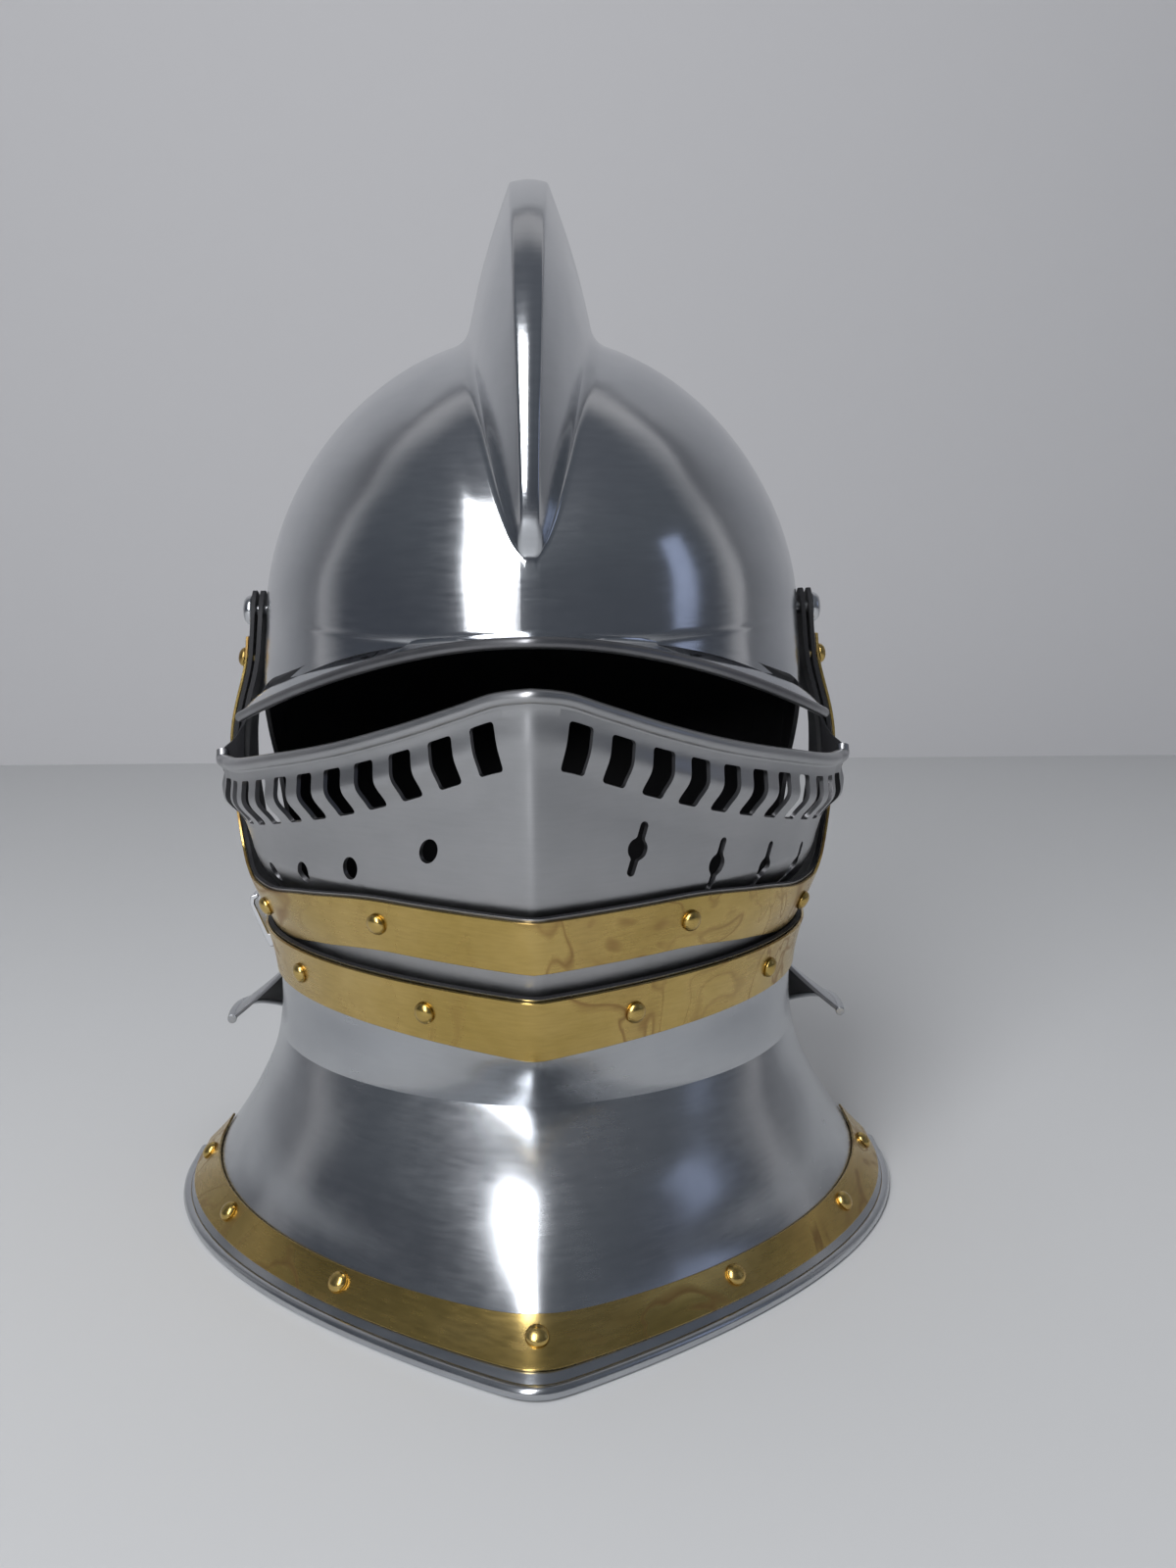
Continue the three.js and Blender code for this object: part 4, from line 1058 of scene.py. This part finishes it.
COLLAR_LIFT = LAME_LIFT + COLLAR_GAP + STEEL
COLLAR_BAND_LIFT = COLLAR_LIFT + BRASS_GAP + BRASS
collar_bearings = np.concatenate([fine_bearings, np.linspace(78, REAR_BEARING, 22)[1:]])
collar_points, collar_faces, collar_kinds = face_sheet(
    collar_bearings, np.linspace(0, 1, 84), level(MIDDLE_BAND_TOP + BAND_BELOW_EDGE), level(HEM_PARAM),
    COLLAR_LIFT,
).closed(STEEL)
hem_bearings = np.linspace(-REAR_BEARING, REAR_BEARING, 261)
hem_line = np.full(len(hem_bearings), HEM_PARAM)
hem_lift = np.full(len(hem_bearings), COLLAR_LIFT - STEEL / 2)
hem_points, hem_faces = tube(face_point(hem_bearings, hem_line, hem_lift), HEM_RADIUS)
piece(
    "collar_plate",
    [(above_floor(collar_points), collar_faces, collar_kinds), (above_floor(hem_points), hem_faces)],
    "bevor", [collar_steel, black, black], ["front_collar"],
)


def band(name, top, foot, replaced):
    sheet = face_sheet(collar_bearings, np.linspace(0, 1, 9), level(top), level(foot), COLLAR_BAND_LIFT)
    piece(
        name, [sheet.closed(BRASS)], "bevor", [band_brass], [replaced], round_edges=BAND_WEAR,
    )


band("middle_brass_border", MIDDLE_BAND_TOP, MIDDLE_BAND_FOOT, "brass_band_middle")
band("hem_brass_border", HEM_BAND_TOP, HEM_BAND_FOOT, "brass_band_hem")

# Rear neck guard

GUARD_LAP_TOP = 12.0
GUARD_STAND = 4.2
GUARD_FRONT_FAN = 257.0
GUARD_SIDE = 96.0
GUARD_RIM_HALF_WIDTH = SKULL_HALF_WIDTH + 27
GUARD_RIM_MIDDLE_Y = 46
GUARD_RIM_DEPTH = 117
GUARD_RIM_FOOT = 1.9
GUARD_RIM_RISE = 54


def guard_point(turn, drop, lift=0.0):
    """Turn 0 is the back; drop is -1 at the top of the lap, 0 at the waist and 1 at the rim."""
    side = -1.0 if turn < 0 else 1.0
    share = abs(turn) / GUARD_SIDE
    fan = mix(NAPE, GUARD_FRONT_FAN, share ** 1.1)
    reach = skull_reach(fan)
    edge = float(along(SKULL_BACK_EDGE, fan))
    x = float(shell_x(min(edge, reach), reach)) * side
    foot = fan_point(x, edge, fan)
    radial = unit(np.array([foot[0], foot[1] - PIVOT_Y - 8, 0]))
    beta = math.radians(abs(turn))
    rim = np.array([
        side * GUARD_RIM_HALF_WIDTH * math.sin(beta),
        GUARD_RIM_MIDDLE_Y + GUARD_RIM_DEPTH * math.cos(beta),
        GUARD_RIM_FOOT + GUARD_RIM_RISE * math.sin(beta) ** 2.4,
    ])
    if drop <= 0:
        top = foot + radial * (GUARD_STAND - 2.6 * drop)
        top[2] -= GUARD_LAP_TOP * drop
        return top + radial * lift
    waist = foot + radial * GUARD_STAND
    out = drop ** 1.35
    down = drop ** 0.9
    point = np.array([mix(waist[0], rim[0], out), mix(waist[1], rim[1], out), mix(waist[2], rim[2], down)])
    tilt = unit(radial * 0.8 + np.array([0, 0, 0.6 * drop]))
    return point + tilt * lift


guard_turns = np.linspace(-GUARD_SIDE, GUARD_SIDE, 121)
guard_drops = np.concatenate([np.linspace(-1, 0, 7)[:-1], np.linspace(0, 1, 34)])
guard_grid = np.array([[guard_point(t, d) for t in guard_turns] for d in guard_drops])
guard_normals = grid_normals(guard_grid, (0, 1, 0.5))
guard = Sheet()
guard.grid(guard_grid, guard_normals)
guard_points, guard_faces, guard_kinds = guard.closed(STEEL)
guard_rim = [guard_point(t, 1, -STEEL / 2) for t in np.linspace(-GUARD_SIDE, GUARD_SIDE, 141)]
rim_points, rim_faces = tube(guard_rim, PEAK_ROLL)
piece(
    "guard_plate",
    [(above_floor(guard_points), guard_faces, guard_kinds), (above_floor(rim_points), rim_faces)],
    "helmet", [collar_steel, black, cut_steel], ["neck_guard"],
)

# Rivets: a domed head with a slightly uneven hammered form

RIVET_RADIUS = 3.7
RIVET_HEIGHT = 2.6
RIVET_RIM = 0.22
SHANK_RADIUS = 1.3
RIVET_GAP = 0.05


def rivet(name, foot, direction, material, body, shank, seed):
    dome = [
        (SHANK_RADIUS, -shank), (SHANK_RADIUS, 0.0), (RIVET_RADIUS * 0.96, 0.0), (RIVET_RADIUS, RIVET_RIM),
    ]
    for k in range(1, 10):
        turn = math.radians(90 * k / 9.6)
        height = RIVET_RIM + (RIVET_HEIGHT - RIVET_RIM) * math.sin(turn)
        dome.append((RIVET_RADIUS * math.cos(turn) ** 0.9, height))
    points, faces = lathe(dome, 28, foot, direction, lump=0.014, seed=seed)
    piece(name + "_head", [(points, faces)], body, [material], [name], sharp=55, round_edges=0)


def surface_rivet(name, bearing, z, lift, seed):
    foot = face_point(bearing, z, lift)
    rivet(name, foot, outward(face_plan, bearing, z), rivet_brass, "bevor", 3.4, seed)


on_lame = BAND_LIFT_OUT + RIVET_GAP
on_collar = COLLAR_BAND_LIFT + RIVET_GAP
middle_height = (MIDDLE_BAND_TOP + MIDDLE_BAND_FOOT) / 2
hem_height = (HEM_BAND_TOP + HEM_BAND_FOOT) / 2 + 0.4
for k, bearing in enumerate((-66, -27, 27, 66)):
    upper_height = float(lame_edge(bearing)) - UPPER_BAND_HEIGHT / 2
    surface_rivet(f"upper_rivet_{k + 1}", bearing, upper_height, on_lame, k)
for k, bearing in enumerate((-87.2, 87.2)):
    surface_rivet(f"upper_rivet_{k + 5}", bearing, 206, on_lame, k + 10)
for k, bearing in enumerate((-54, -19, 17, 54)):
    surface_rivet(f"middle_rivet_{k + 1}", bearing, middle_height, on_collar, k + 20)
for k, bearing in enumerate((-84, -58, -29, 0, 29, 58, 84)):
    surface_rivet(f"hem_rivet_{k + 1}", bearing, hem_height, on_collar, k + 30)
for k, turn in enumerate((0, -62, 62)):
    foot = guard_point(turn, -0.5, RIVET_GAP)
    away = foot - guard_point(turn, -0.5, -6)
    rivet(f"neck_guard_rivet_{k + 1}", foot, away, bright_steel, "helmet", 4.0, k + 40)

# Pivot bolts

bolt_seat = float(face_point(90.0, PIVOT_Z, LAME_LIFT)[0]) + 0.1
bolt_root = SKULL_HALF_WIDTH - STEEL - 0.7
bolt_profile = [
    (4.8, bolt_root - 2), (5.2, bolt_root - 1.6), (5.2, bolt_root), (2.6, bolt_root), (2.6, bolt_seat),
]
bolt_dome = [(5.4, 0), (5.7, 0.3), (5.7, 1.0), (5.2, 2.0), (4.2, 2.8), (2.8, 3.2), (1.2, 3.4)]
bolt_profile += [(radius, bolt_seat + height) for radius, height in bolt_dome]
for name, side in (("pivot_bolt_left", 1), ("pivot_bolt_right", -1)):
    piece(
        name + "_head", [lathe(bolt_profile, 36, (0, PIVOT_Y, PIVOT_Z), (side, 0, 0))], "helmet",
        [bright_steel], [name], sharp=40, round_edges=0.15,
    )

# Side catch on the wearer's right: a sprung strap with a hooked head

catch_x = -float(face_point(90.0, 100.0, COLLAR_BAND_LIFT)[0])
strap_line = [
    (-0.5, 92), (-2.4, 92), (-4.4, 96), (-9.6, 109), (-9.2, 112.5), (-6.4, 113.5), (-5.8, 112), (-7.4, 111),
    (-7.6, 109.4), (-2.6, 97.4), (-0.5, 97),
]
strap_count = len(strap_line)
strap_sides = (7.0, 16.0)
strap_points = np.array([(catch_x - 0.4 + x, y, z) for y in strap_sides for x, z in strap_line])
strap_faces = [tuple(range(strap_count)), tuple(range(2 * strap_count - 1, strap_count - 1, -1))]
for k in range(strap_count):
    n = (k + 1) % strap_count
    strap_faces.append((n, k, k + strap_count, n + strap_count))
piece(
    "catch_strap", [(strap_points, strap_faces)], "bevor", [bright_steel], ["side_catch"],
    round_edges=0.5,
)

# Floor, wall, lights and camera


def stage_plane(name, corners, material):
    mesh = bpy.data.meshes.new(name)
    mesh.from_pydata(corners, [], [tuple(range(len(corners)))])
    mesh.materials.append(material)
    obj = bpy.data.objects.new(name, mesh)
    bpy.context.scene.collection.objects.link(obj)


def plain(name, colour, rough):
    material, tree, surface = shader(name)
    surface.inputs["Base Color"].default_value = (*colour, 1)
    surface.inputs["Roughness"].default_value = rough
    return material


floor_material = plain("pale floor", (0.56, 0.565, 0.57), 0.8)
wall_material = plain("pale wall", (0.64, 0.635, 0.645), 0.85)
WALL_Y = 1.3
stage_plane("floor", [(-3, -3, 0), (3, -3, 0), (3, WALL_Y, 0), (-3, WALL_Y, 0)], floor_material)
stage_plane("wall", [(-3, WALL_Y, 0), (3, WALL_Y, 0), (3, WALL_Y, 2.6), (-3, WALL_Y, 2.6)], wall_material)


def area_light(name, place, target, size, power, colour=(1, 1, 1), mirrored=True):
    light = bpy.data.lights.new(name, "AREA")
    light.shape = "RECTANGLE"
    light.size, light.size_y = size
    light.energy = power
    light.color = colour
    obj = bpy.data.objects.new(name, light)
    obj.location = place
    aim = Vector(target) - Vector(place)
    obj.rotation_euler = aim.to_track_quat("-Z", "Y").to_euler()
    obj.visible_glossy = mirrored
    bpy.context.scene.collection.objects.link(obj)


# The tall window to the front left gives the long bright reflections
area_light("window", (-0.6, -1.42, 1.32), (0, 0, 0.2), (0.74, 1.9), 40, (0.97, 0.98, 1.0))
area_light("overhead", (0.0, 0.3, 2.3), (0, 0, 0.1), (2.6, 2.0), 11, (1.0, 0.99, 0.98), mirrored=False)
area_light("right window", (1.9, -0.35, 0.8), (0, 0, 0.2), (0.4, 0.9), 0.6, (0.6, 0.7, 1.0))

world = bpy.data.worlds.new("room")
bpy.context.scene.world = world
world.use_nodes = True
sky = world.node_tree
background = sky.nodes["Background"]
place = sky.nodes.new("ShaderNodeTexCoord")
split = sky.nodes.new("ShaderNodeSeparateXYZ")
sky.links.new(place.outputs["Generated"], split.inputs["Vector"])
shade = ramp(sky, split, [
    (0.0, (0.075, 0.083, 0.1)), (0.6, (0.11, 0.122, 0.14)), (1.0, (0.13, 0.14, 0.16)),
], "Z")
back = spread(sky, split, "Y", (0.15, 0.42))
back.interpolation_type = "SMOOTHSTEP"
room = blend_colour(sky, back, "Result", shade, (0.5, 0.495, 0.505))
sky.links.new(colour_of(room), background.inputs["Color"])
background.inputs["Strength"].default_value = 0.95
bpy.context.scene.view_settings.view_transform = "Standard"

EYE_HEIGHT = 0.243
EYE_DISTANCE = 0.600
EYE_SIDE = 0.0038
LOOK_DOWN = 8.18
ROLL = 0.3
LOOK_RIGHT = 1.64
camera_data = bpy.data.cameras.new("camera")
camera_data.lens = 36
camera_data.sensor_fit = "VERTICAL"
camera_data.sensor_height = 36
camera = bpy.data.objects.new("camera", camera_data)
bpy.context.scene.collection.objects.link(camera)
camera.location = (EYE_SIDE, -EYE_DISTANCE + CENTRE_SHIFT / 1000, EYE_HEIGHT)
camera.rotation_euler = (math.radians(90 - LOOK_DOWN), math.radians(ROLL), math.radians(-LOOK_RIGHT))
bpy.context.scene.camera = camera
